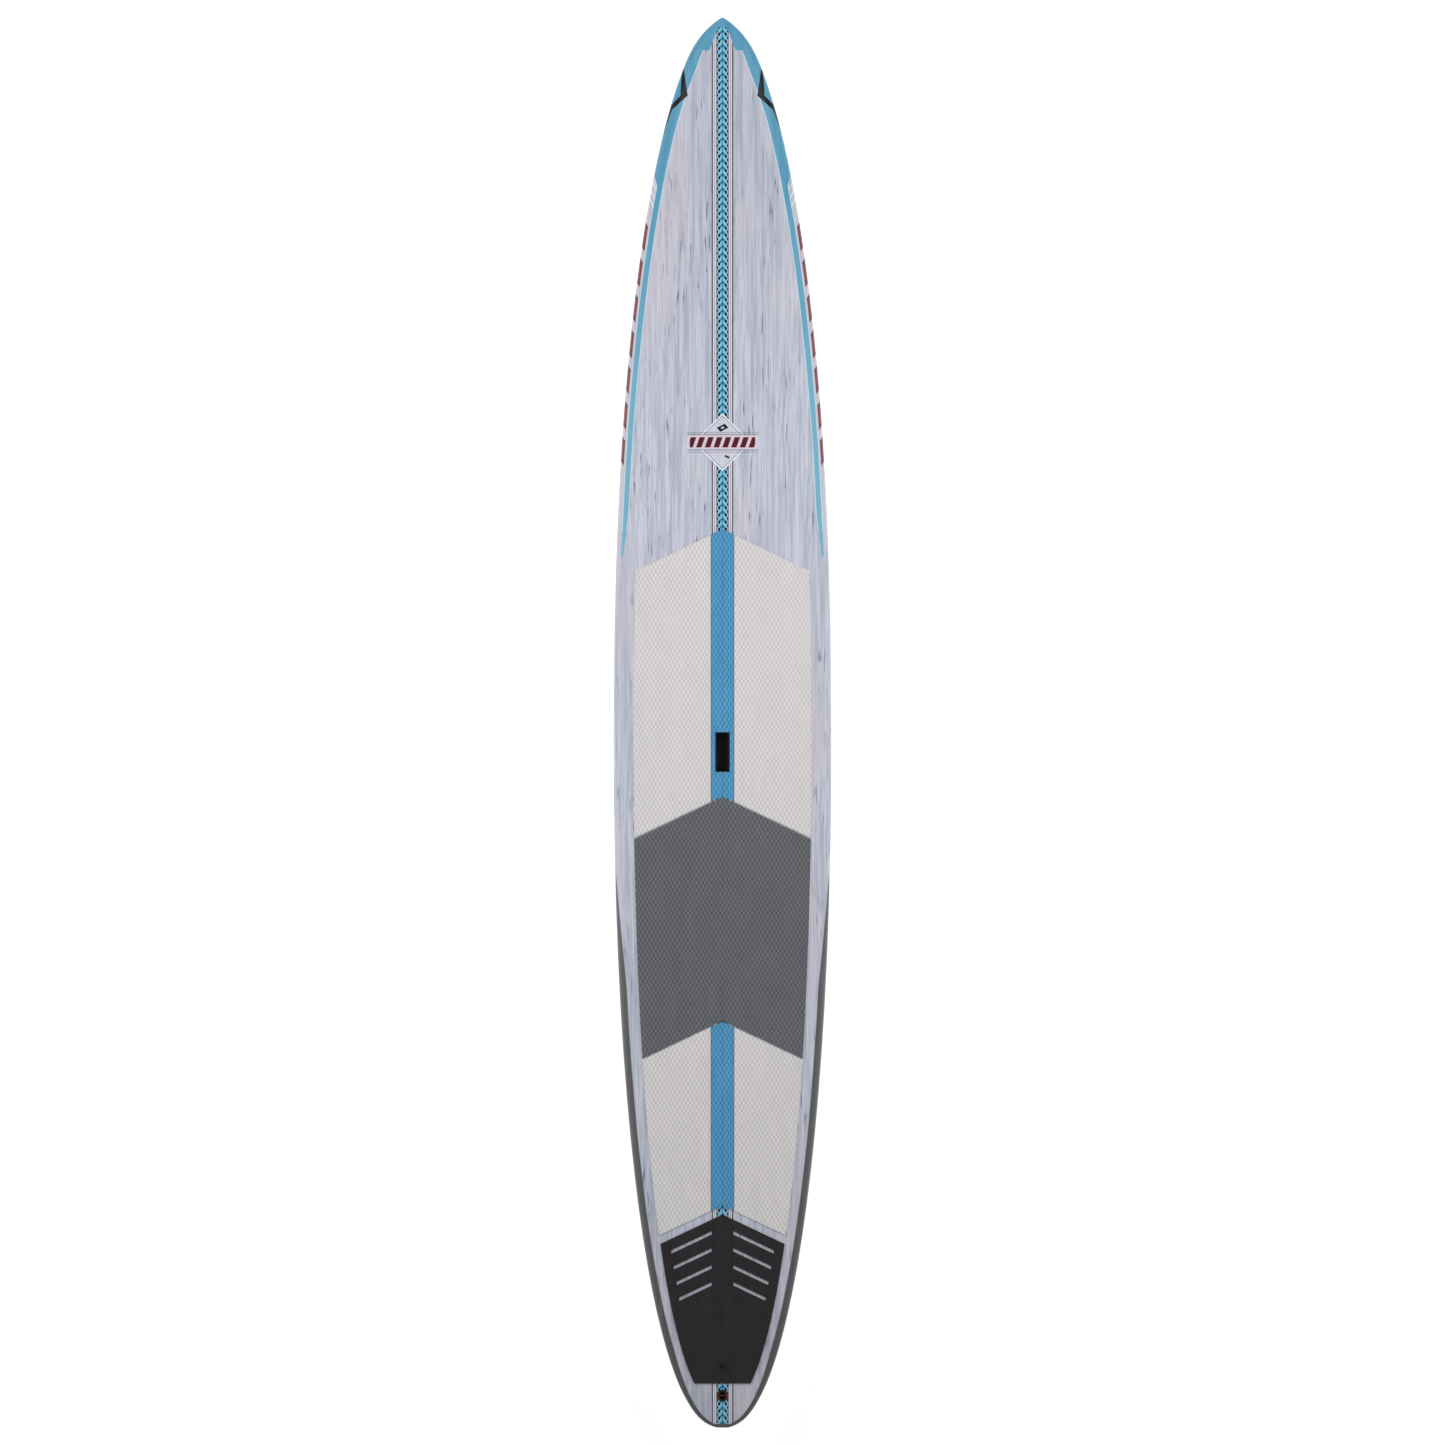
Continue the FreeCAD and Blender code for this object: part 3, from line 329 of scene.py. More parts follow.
def board_paint():
    """The node group with the whole board's artwork: colour and gloss for any spot on it."""
    group = bpy.data.node_groups.new("board_artwork", "ShaderNodeTree")
    group.interface.new_socket("Deck", in_out="INPUT", socket_type="NodeSocketFloat")
    group.interface.new_socket("Color", in_out="OUTPUT", socket_type="NodeSocketColor")
    group.interface.new_socket("Roughness", in_out="OUTPUT", socket_type="NodeSocketFloat")
    group.interface.new_socket("Height", in_out="OUTPUT", socket_type="NodeSocketFloat")
    art = Finish(group)
    deck = Wire(group, group.nodes.new("NodeGroupInput").outputs[0])
    spot, x, y = art.place()
    side = x.size()
    inset = outline_wires(x, y)

    # Brushed ground: long fine streaks, short dark dashes and faint warm clouds.
    fine = art.noise(spot, (420, 7, 1), detail=4, rough=0.62)
    broad = art.noise(spot, (95, 3.0, 1), detail=4, rough=0.6)
    marks = art.noise(spot, (170, 12, 1), detail=2, rough=0.5)
    clouds = art.noise(spot, (6, 1.8, 1), detail=2)
    patches = art.noise(spot, (18, 4.5, 1), detail=3)
    paint = art.mix(broad.ramp(0.44, 0.64, 0, 0.75), WHITE, STREAK)
    paint = art.mix(fine.ramp(0.47, 0.62, 0, 0.75), paint, STREAK)
    # Painted shade: the deck is greyed towards the nose and the tail, where less light falls on it.
    ends = y.ramp(1.0, 1.6, 0, 0.14) + y.ramp(-1.6, -2.0, 0, 0.22)
    paint = art.mix(ends, paint, shade(140, 142, 150))
    paint = art.mix(clouds.ramp(0.48, 0.72, 0, 0.5), paint, BLUSH)
    paint = art.mix(marks.ramp(0.58, 0.68) * patches.ramp(0.48, 0.60, 0, 0.85), paint, DASH)

    # Grey rails outside the blue stripes.
    rail = y.ramp(0.50, 1.62, 0.0215, 0.0070)
    outer = inset.below(rail, 0.003) * y.below(1.60, 0.06) * y.above(0.42, 0.25)
    paint = art.mix(outer * 0.7, paint, RAIL_GREY)

    # Blue nose, and the blue stripes that run back from it and taper away.
    stripe_out = y.ramp(1.280, 1.625, 0.0212, 0.0150).least(y.ramp(1.625, 1.655, 0.0150, 0.0))
    stripe_in = y.ramp(STRIPE_END_Y, 0.630, 0.0212, 0.0325).least(y.ramp(0.630, 0.860, 0.0325, 0.0385))
    stripe_in = stripe_in + y.ramp(0.860, 1.150, 0.0, 0.0015) + y.ramp(1.820, 1.960, 0.0, 0.0030)
    stripe_in = stripe_in - y.ramp(1.980, 2.035, 0.0, 0.0050)
    blue_area = inset.within(stripe_out, stripe_in, 0.001) * y.within(STRIPE_END_Y, 1.650, 0.001)
    tip_side = 0.0400 - (y - BRAID_OPEN_Y) * 0.394
    blue_area = blue_area.most(inset.below(stripe_in, 0.001) * y.within(1.647, BRAID_OPEN_Y, 0.001))
    blue_area = blue_area.most(side.above(tip_side, 0.001) * y.above(BRAID_OPEN_Y, 0.001))
    blue_area = blue_area.most(y.above(2.0960, 0.002))
    edges = (inset - stripe_in).size().below(0.0012, 0.0008) * y.within(0.580, BRAID_OPEN_Y, 0.002)
    edges = edges.most((inset - stripe_out).size().below(0.0014, 0.0008) * y.within(0.580, 1.652, 0.002))
    blue = art.mix(art.noise(spot, (70, 3, 1), detail=3).ramp(0.38, 0.68, 0, 0.5), BLUE, PALE_BLUE)
    blue = art.mix(art.noise(spot, (9, 2.5, 1), detail=3).ramp(0.45, 0.7, 0, 0.35), blue, shade(72, 138, 172))
    blue = art.mix(y.ramp(1.60, 0.90, 0, 0.6), blue, shade(134, 188, 208))
    paint = art.mix(blue_area, paint, blue)
    paint = art.mix(edges * 0.85, paint, PALE_EDGE)

    # White slanted hatch where the nose paint ends on the rails.
    slant = (y + inset * 1.7).share_of(0.0250)
    strip = y.within(1.560, 1.654, 0.004) * inset.below(stripe_out + 0.001, 0.001)
    hatch = slant.within(0.40, 0.62, 0.10) * strip
    paint = art.mix(hatch * 0.9, paint, shade(226, 232, 238))

    # A plain black chevron on each side of the nose.
    ahead = (y - CHEVRON_Y).most(0.0)
    behind = (CHEVRON_Y - y).most(0.0)
    upper = (inset - (0.0300 - ahead * 0.37)).size().below(0.0105 - ahead * 0.100, 0.001)
    lower = (inset - (0.0300 - behind * 0.72)).size().below(0.0105 - behind * 0.060, 0.001)
    tail_line = inset.below(0.0115 - behind * 0.090, 0.001) * behind.within(0.030, 0.112, 0.003)
    chevron = upper * y.within(CHEVRON_Y, 1.990, 0.001) + lower * y.within(1.840, CHEVRON_Y, 0.001)
    paint = art.mix(chevron.most(tail_line).least(1.0), paint, BLACK)

    # Slanted red bars along the rails, with dark pointed ends. The rear ones are on the right side only.
    rear_bars = y.within(-1.255, -0.578, 0.001) * x.above(0, 0.001)
    front_bars = y.within(0.757, 1.520, 0.001)
    zone = rear_bars.most(front_bars)
    lean = y.above(0, 0.001) * (1.520 + 0.575) - 0.575 - y - inset * 1.6
    step = lean.share_of(0.108)
    bars = step.within(0.03, 0.72, 0.02) * inset.below(0.0098, 0.001)
    glow = step.within(0.0, 0.80, 0.04) * inset.below(0.0130, 0.003)
    ends = (step - 0.375).size().ramp(0.20, 0.32)
    paint = art.mix(glow * zone * 0.6, paint, HALO)
    paint = art.mix(bars * zone, paint, art.mix(ends, RED, shade(44, 30, 38)))

    # The centre stripe, from the middle out: braid, beads on a thread, three fine lines and a pinstripe.
    diamond = side + (y - EMBLEM_Y).size()
    clear = diamond.above(EMBLEM_HALF, 0.001)
    inner = clear * (1.0 - blue_area)
    weave = (y + side).share_of(BRAID_PITCH)
    line = (weave - 0.5).size()
    cord = art.mix(line.ramp(0.10, 0.46), TEAL, shade(128, 192, 214))
    cord = art.mix(line.below(0.14, 0.10), cord, DEEP_TEAL)
    cord = art.mix(side.below(0.0016, 0.0016) * 0.7, cord, DEEP_TEAL)
    bead_y = (y.share_of(BRAID_PITCH) - 0.5).size() * BRAID_PITCH
    dot_y = ((y + BRAID_PITCH / 2).share_of(BRAID_PITCH) - 0.5).size() * BRAID_PITCH
    apex = (side + (bead_y - 0.001).size() * 0.8).below(0.0026, 0.001)
    cord = art.mix(apex * 0.8, cord, shade(18, 60, 96))
    dot = ((dot_y / 0.0052) ** 2 + ((side - 0.0104) / 0.0036) ** 2).below(1.0, 0.4)
    cord = art.mix(dot, cord, shade(10, 22, 36))
    bead = ((bead_y / 0.0044) ** 2 + ((side - 0.0155) / 0.0025) ** 2).below(1.0, 0.4)
    thread = (side - 0.0178).size().below(0.0011, 0.0006)
    pale_lines = (side - 0.0207).size().below(0.0010, 0.0006)
    pale_lines = pale_lines.most((side - 0.0270).size().below(0.0010, 0.0006))
    hair = (side - 0.0239).size().below(0.0011, 0.0008)
    pin = side.within(0.0291, 0.0327, 0.0008)
    paint = art.mix(side.within(0.0180, 0.0305, 0.0008) * inner * 0.85, paint, GROUND)
    paint = art.mix(side.within(0.0133, 0.0180, 0.0008) * inner * 0.85, paint, GREY_TEAL)
    paint = art.mix(pale_lines * inner * 0.7, paint, shade(222, 222, 230))
    paint = art.mix(hair * inner * 0.7, paint, shade(132, 130, 146))
    paint = art.mix(thread * inner * 0.9, paint, shade(92, 82, 108))
    paint = art.mix(bead * inner, paint, shade(42, 34, 56))
    paint = art.mix(pin * inner, paint, PURPLE)
    core = side.below(0.0133, 0.0008) * clear * y.below(2.104, 0.002)
    paint = art.mix(core, paint, cord)

    # The dark band round the rails of the tail half.
    band = y.ramp(-0.43, -0.80, 0.002, 0.0225).least(y.ramp(-1.90, -2.11, 0.0225, 0.0125))
    dark_side = inset.below(band, 0.003) * y.below(-0.46, 0.06)
    paint = art.mix(dark_side, paint, art.mix(fine.ramp(0.35, 0.7), DARK_RAIL, shade(96, 94, 96)))

    # A plain diamond over the stripe, with a band of slanted bars across it.
    gap = EMBLEM_HALF - diamond
    plate = art.mix(0.6, paint, shade(208, 208, 222))
    mark = art.mix(gap.above(0, 0.001), paint, plate)
    mark = art.mix(gap.within(0, 0.0055, 0.001), mark, shade(232, 234, 242))
    mark = art.mix(gap.within(0.0055, 0.0078, 0.0008), mark, shade(74, 66, 92))
    along = y - EMBLEM_Y
    panel_end = side.below(0.107, 0.002)
    panel = along.size().below(0.0215, 0.001) * panel_end
    mark = art.mix(panel, mark, shade(204, 204, 218))
    rules = along.size().within(0.0222, 0.0242, 0.0008)
    rules = rules.most(along.size().within(0.0290, 0.0308, 0.0008) * 0.7)
    mark = art.mix(rules * panel_end, mark, shade(84, 72, 98))
    lean = (x - along * 0.35).share_of(0.0265)
    block = lean.within(0.18, 0.80, 0.05) * along.size().below(0.0155, 0.001) * side.below(0.099, 0.001)
    fringe = lean.within(0.08, 0.90, 0.08) * along.size().below(0.0185, 0.003) * side.below(0.101, 0.001)
    mark = art.mix(fringe * 0.7, mark, shade(216, 174, 182))
    mark = art.mix(block, mark, shade(84, 28, 38))
    lozenge = (x - along * 0.55 + 0.024).size() * 0.7 + (along - 0.044).size()
    mark = art.mix(lozenge.within(0.004, 0.0125, 0.0012), mark, shade(26, 30, 40))
    spots = ((x + along + 0.03).size() * 0.8 + (along + 0.044).size()).below(0.0065, 0.0012)
    mark = art.mix(spots, mark, shade(60, 58, 76))

    # The underside is plain white but for the paint that wraps round the edges.
    under = art.mix(broad.ramp(0.45, 0.75, 0, 0.35), shade(214, 216, 224), shade(190, 194, 206))
    wrap = inset.below(0.012, 0.001).most(deck)
    paint = art.mix(wrap, under, mark)

    result = group.nodes.new("NodeGroupOutput")
    plug(group, result.inputs["Color"], paint)
    plug(group, result.inputs["Roughness"], fine.ramp(0.3, 0.8, 0.24, 0.40))
    plug(group, result.inputs["Height"], fine * 0.5 + broad * 0.5)
    return group


ARTWORK = board_paint()


def painted(name, deck):
    """A glossy coat over the board's artwork."""
    finish, shader, material = new_finish(name)
    art = finish.node("Group", node_tree=ARTWORK)
    art.inputs["Deck"].default_value = deck
    plug(finish.tree, shader.inputs["Base Color"], art.outputs["Color"])
    plug(finish.tree, shader.inputs["Roughness"], art.outputs["Roughness"])
    plug(finish.tree, shader.inputs["Normal"], finish.bump(art.outputs["Height"], 0.0004, 0.25))
    shader.inputs["Specular IOR Level"].default_value = 0.12
    shader.inputs["Coat Weight"].default_value = 0.10
    shader.inputs["Coat Roughness"].default_value = 0.08
    return material


DECK_PAINT = painted("brushed_deck_paint", 1.0)
HULL_PAINT = painted("hull_paint", 0.0)
for name in ("deck_skin", "left_rail", "right_rail"):
    wear(name, DECK_PAINT)
wear("hull_skin", HULL_PAINT)


# ---------------------------------------------------------------- foam, plastic, metal and wood

def foam(name, colour, dark, sheen=0.05, groove_shading=None):
    """Closed cell foam: fine pores, a faint mottle, a soft sheen and, on the deck pads, painted shading along
    the grooves.
    """
    finish, shader, material = new_finish(name)
    spot, x, y = finish.place()
    pores = finish.cells(spot, (900, 900, 900))
    mottle = finish.noise(spot, (30, 8, 8), detail=4)
    colour_now = finish.mix(mottle.ramp(0.3, 0.75, 0, 0.6), colour, dark)
    colour_now = finish.mix(pores.ramp(0.35, 0.05, 0, 0.35), colour_now, dark)
    if groove_shading:
        # Painted shading along the grooves: darker lines on the light pads and lighter lines on the dark tail
        # pad, with one slant stronger than the other, as if lit from one side.
        for lean in (1, -1):
            run = (y + x * (lean * DIAMOND_LENGTH / DIAMOND_WIDTH)).share_of(DIAMOND_LENGTH)
            line = (run - 0.5).size().below(0.10, 0.08)
            colour_now = finish.mix(line * (0.48 + 0.06 * lean), colour_now, groove_shading)
    plug(finish.tree, shader.inputs["Base Color"], colour_now)
    plug(finish.tree, shader.inputs["Roughness"], mottle.ramp(0.3, 0.7, 0.78, 0.92))
    plug(finish.tree, shader.inputs["Normal"], finish.bump(pores, 0.0006, 0.5))
    shader.inputs["Specular IOR Level"].default_value = 0.15
    shader.inputs["Sheen Weight"].default_value = sheen
    shader.inputs["Sheen Roughness"].default_value = 0.6
    return material


WHITE_FOAM = foam("white_foam", shade(221, 217, 217), shade(210, 207, 208), groove_shading=shade(200, 197, 198))
BLUE_FOAM = foam("blue_foam", shade(90, 160, 202), shade(76, 142, 184), groove_shading=shade(62, 124, 168))
GREY_FOAM = foam("grey_foam", shade(109, 110, 115), shade(98, 100, 105), groove_shading=shade(84, 86, 92))
DARK_FOAM = foam("dark_foam", shade(46, 44, 45), shade(36, 34, 36), sheen=0.0, groove_shading=shade(72, 69, 70))


def moulded(name, colour, gloss, grain=700, stain_y=None):
    """Moulded plastic with a fine spark-eroded grain, and rust stains on the rim of a plug at stain_y."""
    finish, shader, material = new_finish(name)
    spot, x, y = finish.place()
    texture = finish.noise(spot, (grain, grain, grain), detail=2)
    smear = finish.noise(spot, (14, 5, 9), detail=4)
    lighter = tuple(min(1, part * 1.5 + 0.004) for part in colour[:3]) + (1.0,)
    colour_now = finish.mix(smear.ramp(0.4, 0.75), colour, lighter)
    if stain_y is not None:
        from_middle = (x ** 2 + (y - stain_y) ** 2) ** 0.5
        rust = from_middle.within(0.0112, 0.0160, 0.0012) * x.size().above(0.0085, 0.004)
        rust = rust * finish.noise(spot, (160, 160, 160), detail=3).ramp(0.30, 0.55, 0.35, 1.0)
        colour_now = finish.mix(rust * 0.85, colour_now, RUST)
    plug(finish.tree, shader.inputs["Base Color"], colour_now)
    plug(finish.tree, shader.inputs["Roughness"], smear.ramp(0.3, 0.7, gloss, gloss + 0.15))
    plug(finish.tree, shader.inputs["Normal"], finish.bump(texture, 0.0003, 0.3))
    shader.inputs["Specular IOR Level"].default_value = 0.35
    return material


RUST = shade(128, 62, 42)
LEASH_Y = TAIL_END + 0.097
BLACK_PLASTIC = moulded("black_moulding", shade(20, 21, 24), 0.5)
VENT_PLASTIC = moulded("vent_moulding", shade(7, 7, 8), 0.6)
PLUG_PLASTIC = moulded("leash_plug_moulding", shade(20, 21, 24), 0.5, stain_y=LEASH_Y)
FIN_PLASTIC = moulded("fin_moulding", shade(24, 25, 29), 0.22, 300)
RUBBER = moulded("seal_rubber", shade(34, 34, 36), 0.65)
HIDDEN_FOAM = foam("core_foam", shade(238, 238, 232), shade(222, 222, 216))
DENSE_FOAM = foam("dense_foam", shade(226, 214, 176), shade(206, 192, 150))
MEMBRANE = foam("vent_membrane", shade(220, 220, 220), shade(200, 200, 200))


def metal(name, colour, rough, scratch=(40, 900, 900), stain=0.0):
    """Bare metal with fine turning marks, and rust over a share of it."""
    finish, shader, material = new_finish(name)
    spot = finish.place()[0]
    marks = finish.noise(spot, scratch, detail=3)
    tone = finish.noise(spot, (90, 90, 90), detail=3)
    darker = tuple(part * 0.72 for part in colour[:3]) + (1.0,)
    colour_now = finish.mix(tone.ramp(0.4, 0.8), colour, darker)
    colour_now = finish.mix(tone.ramp(0.62 - stain, 0.72 - stain, 0, min(stain * 2, 1)), colour_now, RUST)
    plug(finish.tree, shader.inputs["Base Color"], colour_now)
    plug(finish.tree, shader.inputs["Roughness"], marks.ramp(0.3, 0.7, rough, rough + 0.14))
    plug(finish.tree, shader.inputs["Normal"], finish.bump(marks, 0.0001, 0.3))
    shader.inputs["Metallic"].default_value = 1.0
    return material


STAINLESS = metal("stainless", (0.62, 0.62, 0.62, 1), 0.22)
STAINED_PIN = metal("stained_pin", (0.22, 0.20, 0.20, 1), 0.45, stain=0.45)
BRASS = metal("brass", (0.78, 0.57, 0.26, 1), 0.25)


def sawn_wood():
    """Light sawn wood with its grain along the board."""
    finish, shader, material = new_finish("sawn_paulownia")
    spot = finish.place()[0]
    grain = finish.noise(spot, (60, 1.5, 60), detail=5)
    plug(finish.tree, shader.inputs["Base Color"],
         finish.mix(grain.ramp(0.35, 0.7), shade(214, 178, 128), shade(166, 122, 78)))
    plug(finish.tree, shader.inputs["Roughness"], grain.ramp(0.3, 0.7, 0.55, 0.75))
    plug(finish.tree, shader.inputs["Normal"], finish.bump(grain, 0.0003, 0.4))
    return material


WOOD = sawn_wood()
for finish_of, names in (
    (HIDDEN_FOAM, ("foam_core_left", "foam_core_right")),
    (DENSE_FOAM, ("handle_block", "leash_block", "fin_box_block", "deck_panel")),
    (WOOD, ("stringer",)),
    (BLACK_PLASTIC, ("handle_cup", "fin_box")),
    (VENT_PLASTIC, ("vent_housing", "vent_screw")),
    (PLUG_PLASTIC, ("leash_cup",)),
    (FIN_PLASTIC, ("fin",)),
    (STAINLESS, ("fin_screw",)),
    (STAINED_PIN, ("leash_pin",)),
    (BRASS, ("fin_pin", "fin_nut_plate")),
    (RUBBER, ("vent_ring",)),
    (MEMBRANE, ("vent_membrane",)),
):
    for name in names:
        wear(name, finish_of)


# ---------------------------------------------------------------- foam deck pads

OUTER_STEPS = 60
END_SPARE = 0.01

def flat_plan(front, rear, inner):
    """The right half of a pad as one flat face, past both ends: an inner edge and the curved outer edge."""
    mesh = bmesh.new()
    low = rear - CHEVRON_SLOPE * (WIDTH / 2) - END_SPARE
    high = front + END_SPARE
    ys = [low + (high - low) * step / OUTER_STEPS for step in range(OUTER_STEPS + 1)]
    outer = [(half_width(y, PAD_MARGIN), y) for y in ys]
    corners = [(inner, low), *outer, (inner, high)]
    mesh.faces.new([mesh.verts.new((cx, cy, 0)) for cx, cy in corners])
    return mesh


def cut(mesh, point, normal, clear=False):
    """Cuts the flat face along a line, and drops what lies on the normal's side if clear is set."""
    bmesh.ops.bisect_plane(
        mesh, geom=mesh.verts[:] + mesh.edges[:] + mesh.faces[:], dist=1e-6,
        plane_co=(*point, 0), plane_no=(*normal, 0), clear_outer=clear, clear_inner=False)


def pad_half(front, rear, inner, left, flat_rear=False):
    """Half of a pad, cut along its V ends and into diamonds, as flat faces."""
    mesh = flat_plan(front, rear, inner)
    cut(mesh, (0, front), (CHEVRON_SLOPE, 1), clear=True)
    if flat_rear:
        cut(mesh, (0, rear), (0, -1), clear=True)
    else:
        cut(mesh, (0, rear), (-CHEVRON_SLOPE, -1), clear=True)
    ys = [v.co.y for v in mesh.verts]
    slope = DIAMOND_LENGTH / DIAMOND_WIDTH
    first = int((min(ys) - slope * WIDTH / 2) / DIAMOND_LENGTH) - 1
    last = int((max(ys) + slope * WIDTH / 2) / DIAMOND_LENGTH) + 1
    for number in range(first, last):
        for lean in (slope, -slope):
            cut(mesh, (0, (number + 0.5) * DIAMOND_LENGTH), (lean, 1))
    if left:
        bmesh.ops.scale(mesh, vec=(-1, 1, 1), verts=mesh.verts)
        bmesh.ops.reverse_faces(mesh, faces=mesh.faces)
    return mesh


def joined(halves):
    """The flat halves of a pad as one mesh."""
    whole = bmesh.new()
    for half in halves:
        carrier = bpy.data.meshes.new("half")
        half.to_mesh(carrier)
        whole.from_mesh(carrier)
        half.free()
        bpy.data.meshes.remove(carrier)
    bmesh.ops.remove_doubles(whole, verts=whole.verts, dist=1e-5)
    return whole


def nearby(mesh, low, high):
    """The faces with their middles in a box, with their edges and corners."""
    faces = []
    for face in mesh.faces:
        middle = face.calc_center_median()
        if low[0] < middle.x < high[0] and low[1] < middle.y < high[1]:
            faces.append(face)
    edges = {edge for face in faces for edge in face.edges}
    corners = {vert for face in faces for vert in face.verts}
    return [*corners, *edges, *faces]


def open_window(mesh, sides, low, high):
    """Takes a window out of a flat pad.

    Each side is a point and the direction that leads out of the window.
    """
    for point, outward in sides:
        bmesh.ops.bisect_plane(mesh, geom=nearby(mesh, low, high), dist=1e-6,
                               plane_co=(*point, 0), plane_no=(*outward, 0))
    inside = []
    for face in mesh.faces:
        spot = face.calc_center_median()
        depth = [(spot.x - point[0]) * outward[0] + (spot.y - point[1]) * outward[1]
                 for point, outward in sides]
        if max(depth) < 0:
            inside.append(face)
    bmesh.ops.delete(mesh, geom=inside, context="FACES")


def raise_diamonds():
    """A node tree that lifts each flat cell of a foam pad, so that grooves are left between them."""
    tree = bpy.data.node_groups.new("groove_the_foam", "GeometryNodeTree")
    face = tree.interface
    face.new_socket("Geometry", in_out="INPUT", socket_type="NodeSocketGeometry")
    face.new_socket("Groove Depth", in_out="INPUT", socket_type="NodeSocketFloat")
    face.new_socket("Top Share", in_out="INPUT", socket_type="NodeSocketFloat")
    face.new_socket("Foam", in_out="INPUT", socket_type="NodeSocketMaterial")
    face.new_socket("Geometry", in_out="OUTPUT", socket_type="NodeSocketGeometry")
    add = tree.nodes.new
    link = tree.links.new
    given = add("NodeGroupInput")
    made = add("NodeGroupOutput")
    normal = add("GeometryNodeInputNormal")
    split = add("ShaderNodeSeparateXYZ")
    upward = add("FunctionNodeCompare")
    upward.operation = "GREATER_THAN"
    upward.inputs["B"].default_value = 0.5
    link(normal.outputs[0], split.inputs[0])
    link(split.outputs["Z"], upward.inputs["A"])
    lift = add("GeometryNodeExtrudeMesh")
    lift.mode = "FACES"
    lift.inputs["Individual"].default_value = True
    link(given.outputs["Geometry"], lift.inputs["Mesh"])
    link(upward.outputs[0], lift.inputs["Selection"])
    link(given.outputs["Groove Depth"], lift.inputs["Offset Scale"])
    shrink = add("GeometryNodeScaleElements")
    shrink.domain = "FACE"
    link(lift.outputs["Mesh"], shrink.inputs["Geometry"])
    link(lift.outputs["Top"], shrink.inputs["Selection"])
    link(given.outputs["Top Share"], shrink.inputs["Scale"])
    solid = add("GeometryNodeRealizeInstances")
    coat = add("GeometryNodeSetMaterial")
    link(shrink.outputs[0], solid.inputs[0])
    link(solid.outputs[0], coat.inputs["Geometry"])
    link(given.outputs["Foam"], coat.inputs["Material"])
    link(coat.outputs[0], made.inputs[0])
    return tree


GROOVES = raise_diamonds()


def made_plain(thing, tree, values):
    """Runs a node tree on an object with named inputs and keeps the result as a plain mesh."""
    modifier = thing.modifiers.new("shaping", "NODES")
    modifier.node_group = tree
    sockets = {item.name: item.identifier for item in tree.interface.items_tree if item.in_out == "INPUT"}
    for name, value in values.items():
        modifier[sockets[name]] = value
    view = bpy.context.evaluated_depsgraph_get()
    result = bpy.data.meshes.new_from_object(thing.evaluated_get(view))
    thing.modifiers.remove(modifier)
    old = thing.data
    thing.data = result
    bpy.data.meshes.remove(old)


def lay_pad(name, flat, node, material):
    depth = PAD_THICKNESS - GROOVE_DEPTH
    risen = bmesh.ops.extrude_face_region(flat, geom=flat.faces[:], use_keep_orig=True)
    top = [item for item in risen["geom"] if isinstance(item, bmesh.types.BMVert)]
    bmesh.ops.translate(flat, vec=(0, 0, depth), verts=top)
    bmesh.ops.recalc_face_normals(flat, faces=flat.faces)
    for corner in flat.verts:
        corner.co.z += deck_height(corner.co.x, corner.co.y)
    mesh = bpy.data.meshes.new(name)
    flat.to_mesh(mesh)
    flat.free()
    pad = bpy.data.objects.new(name, mesh)
    bpy.context.scene.collection.objects.link(pad)
    made_plain(pad, GROOVES, {"Groove Depth": GROOVE_DEPTH, "Top Share": DIAMOND_SHARE, "Foam": material})
    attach(pad, "board")
    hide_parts(node)


front_rear = STANDING_FRONT + PAD_GAP
rear_front = STANDING_REAR - PAD_GAP
rear_rear = TAIL_PAD_FRONT + TAIL_PAD_GAP
beside = STRIP_HALF + STRIP_GAP

for side, left in (("right", False), ("left", True)):
    plan = joined([pad_half(FRONT_PAD_FRONT, front_rear, beside, left)])
    lay_pad(f"front_foam_{side}", plan, f"front_pad_{side}", WHITE_FOAM)
    plan = joined([pad_half(rear_front, rear_rear, beside, left)])
    lay_pad(f"rear_foam_{side}", plan, f"rear_pad_{side}", WHITE_FOAM)

standing = joined([pad_half(STANDING_FRONT, STANDING_REAR, 0, False),
                   pad_half(STANDING_FRONT, STANDING_REAR, 0, True)])
lay_pad("standing_foam", standing, "standing_pad", GREY_FOAM)


def strip_plan(front, rear):
    """A centre strip with its two V ends, cut into diamonds."""
    halves = []
    for left in (False, True):
        half = pad_half(front, rear, 0, left)
        edge = -STRIP_HALF if left else STRIP_HALF
        cut(half, (edge, 0), (-1 if left else 1, 0), clear=True)
        halves.append(half)
    return joined(halves)


HANDLE_Y = -0.088
HANDLE_WIDTH = 0.038
HANDLE_LENGTH = 0.115
HANDLE_WALL = 0.0025
HANDLE_GAP = 0.0003
HANDLE_HALF = (HANDLE_WIDTH / 2 + HANDLE_WALL + HANDLE_GAP, HANDLE_LENGTH / 2 + HANDLE_WALL + HANDLE_GAP)
front_strip = strip_plan(FRONT_PAD_FRONT, front_rear)
window = [((HANDLE_HALF[0], 0), (1, 0)), ((-HANDLE_HALF[0], 0), (-1, 0)),
          ((0, HANDLE_Y + HANDLE_HALF[1]), (0, 1)), ((0, HANDLE_Y - HANDLE_HALF[1]), (0, -1))]
open_window(front_strip, window, (-0.034, HANDLE_Y - 0.08), (0.034, HANDLE_Y + 0.08))
lay_pad("front_strip_foam", front_strip, "front_strip", BLUE_FOAM)
lay_pad("rear_strip_foam", strip_plan(rear_front, rear_rear), "rear_strip", BLUE_FOAM)

# The tail pad has slanted slots and a hole over the air vent.
SLOT_FIRST = 0.035
SLOT_PITCH = 0.0515
SLOT_WIDTH = 0.010
SLOT_INNER = 0.030
SLOT_OUTER = 0.156
SLOT_STEP = 0.0082
VENT_Y = TAIL_END + 0.184
VENT_RADIUS = 0.008


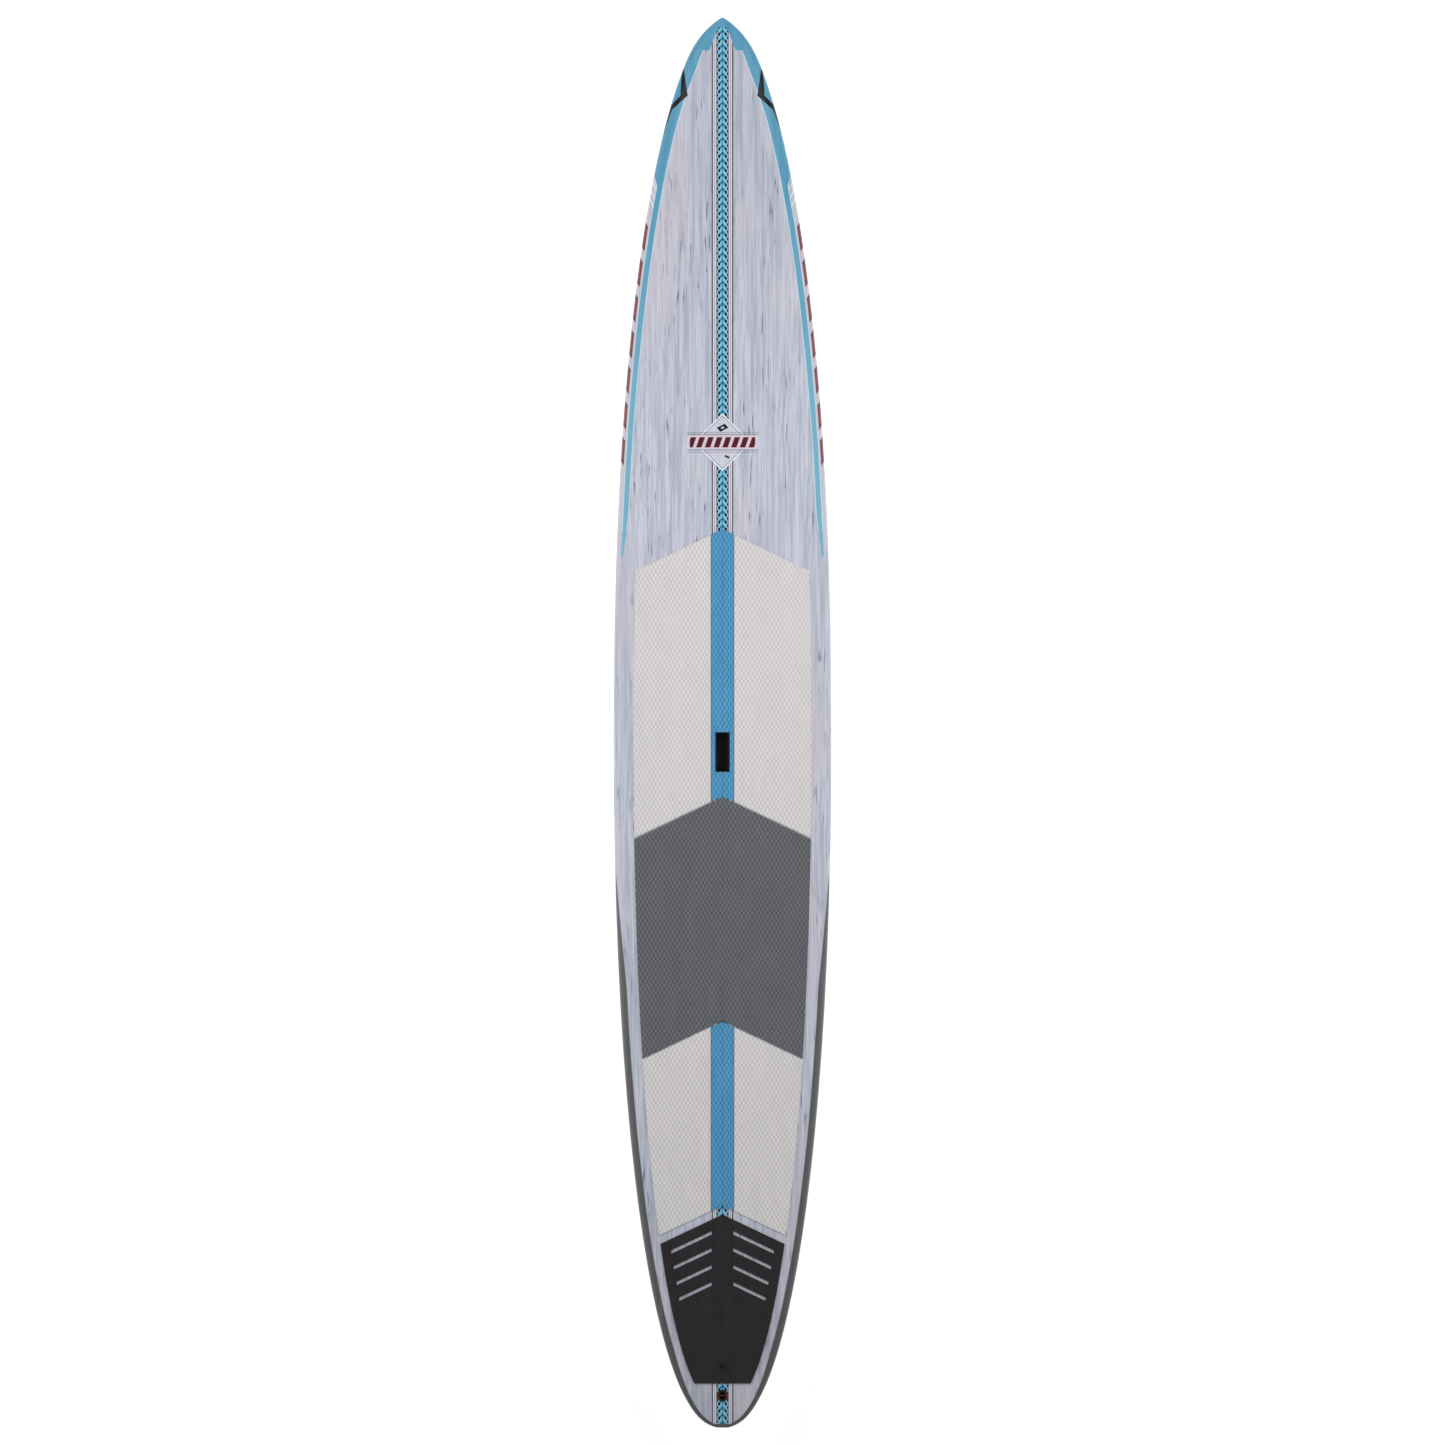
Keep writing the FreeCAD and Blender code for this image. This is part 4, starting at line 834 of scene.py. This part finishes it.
def tail_half(left):
    """Half of the tail pad with its slots."""
    half = pad_half(TAIL_PAD_FRONT, TAIL_PAD_REAR, 0, False, flat_rear=True)
    for number in range(4):
        front = TAIL_PAD_FRONT - SLOT_FIRST - number * SLOT_PITCH
        outer = SLOT_OUTER - number * SLOT_STEP
        sides = [((0, front), (CHEVRON_SLOPE, 1)), ((0, front - SLOT_WIDTH), (-CHEVRON_SLOPE, -1)),
                 ((SLOT_INNER, 0), (-1, 0)), ((outer, 0), (1, 0))]
        open_window(half, sides, (SLOT_INNER - 0.02, front - CHEVRON_SLOPE * outer - 0.03),
                    (outer + 0.02, front + 0.01))
    if left:
        bmesh.ops.scale(half, vec=(-1, 1, 1), verts=half.verts)
        bmesh.ops.reverse_faces(half, faces=half.faces)
    return half


tail = joined([tail_half(False), tail_half(True)])
ring = [math.radians(15 * step) for step in range(24)]
hole = [((VENT_RADIUS * math.cos(a), VENT_Y + VENT_RADIUS * math.sin(a)), (math.cos(a), math.sin(a)))
        for a in ring]
open_window(tail, hole, (-0.02, VENT_Y - 0.02), (0.02, VENT_Y + 0.02))
lay_pad("tail_foam", tail, "tail_pad", DARK_FOAM)


# ---------------------------------------------------------------- floor, light and camera

floor_finish, floor_shader, FLOOR = new_finish("pale_floor")
cloud = floor_finish.noise(floor_finish.place()[0], (0.6, 0.6, 0.6))
plug(floor_finish.tree, floor_shader.inputs["Base Color"],
     floor_finish.mix(cloud, (0.62, 0.62, 0.62, 1), (0.60, 0.60, 0.60, 1)))
floor_shader.inputs["Roughness"].default_value = 0.9
floor_shader.inputs["Specular IOR Level"].default_value = 0.1
floor_shader.inputs["Emission Color"].default_value = (1, 1, 1, 1)
floor_shader.inputs["Emission Strength"].default_value = 0.62
floor_mesh = bpy.data.meshes.new("floor")
span = 14
level = cad_box[0][2] - 0.001
corners = [(-span, -span, level), (span, -span, level), (span, span, level), (-span, span, level)]
floor_mesh.from_pydata(corners, [], [(0, 1, 2, 3)])
floor_mesh.materials.append(FLOOR)
floor = bpy.data.objects.new("floor", floor_mesh)
bpy.context.scene.collection.objects.link(floor)

world = bpy.data.worlds.new("studio")
bpy.context.scene.world = world
world.use_nodes = True
sky = Finish(world.node_tree)
up = sky.node("SeparateXYZ")
plug(sky.tree, up.inputs[0], sky.node("TexCoord").outputs["Generated"])
height = Wire(sky.tree, up.outputs["Z"])
glow = height.ramp(0.30, 0.95, 0.58, 0.34, smooth=True)
backdrop = world.node_tree.nodes["Background"]
plug(sky.tree, backdrop.inputs["Strength"], glow)
backdrop.inputs["Color"].default_value = (1, 1, 1, 1)

LAMP_SIDE = 2.8
LAMP_AHEAD = 1.1
LAMP_HEIGHT = 3.6
for name, x_side in (("left_softbox", -1), ("right_softbox", 1)):
    lamp = bpy.data.lights.new(name, "AREA")
    lamp.shape = "RECTANGLE"
    lamp.size = 2.4
    lamp.size_y = 4.0
    lamp.energy = 92
    box = bpy.data.objects.new(name, lamp)
    box.location = (LAMP_SIDE * x_side, LAMP_AHEAD, LAMP_HEIGHT)
    box.rotation_euler = (0, math.atan2(LAMP_SIDE * x_side, LAMP_HEIGHT), 0)
    bpy.context.scene.collection.objects.link(box)

CAMERA_REACH = 97.24
CAMERA_AHEAD = 0.0015
DECK_LEVEL = 0.09
lens = bpy.data.cameras.new("camera")
lens.lens = 800
lens.sensor_width = 36
lens.clip_end = 200
camera = bpy.data.objects.new("camera", lens)
camera.location = (0, CAMERA_AHEAD, DECK_LEVEL + CAMERA_REACH)
bpy.context.scene.collection.objects.link(camera)
bpy.context.scene.camera = camera
bpy.context.scene.view_settings.view_transform = "Standard"
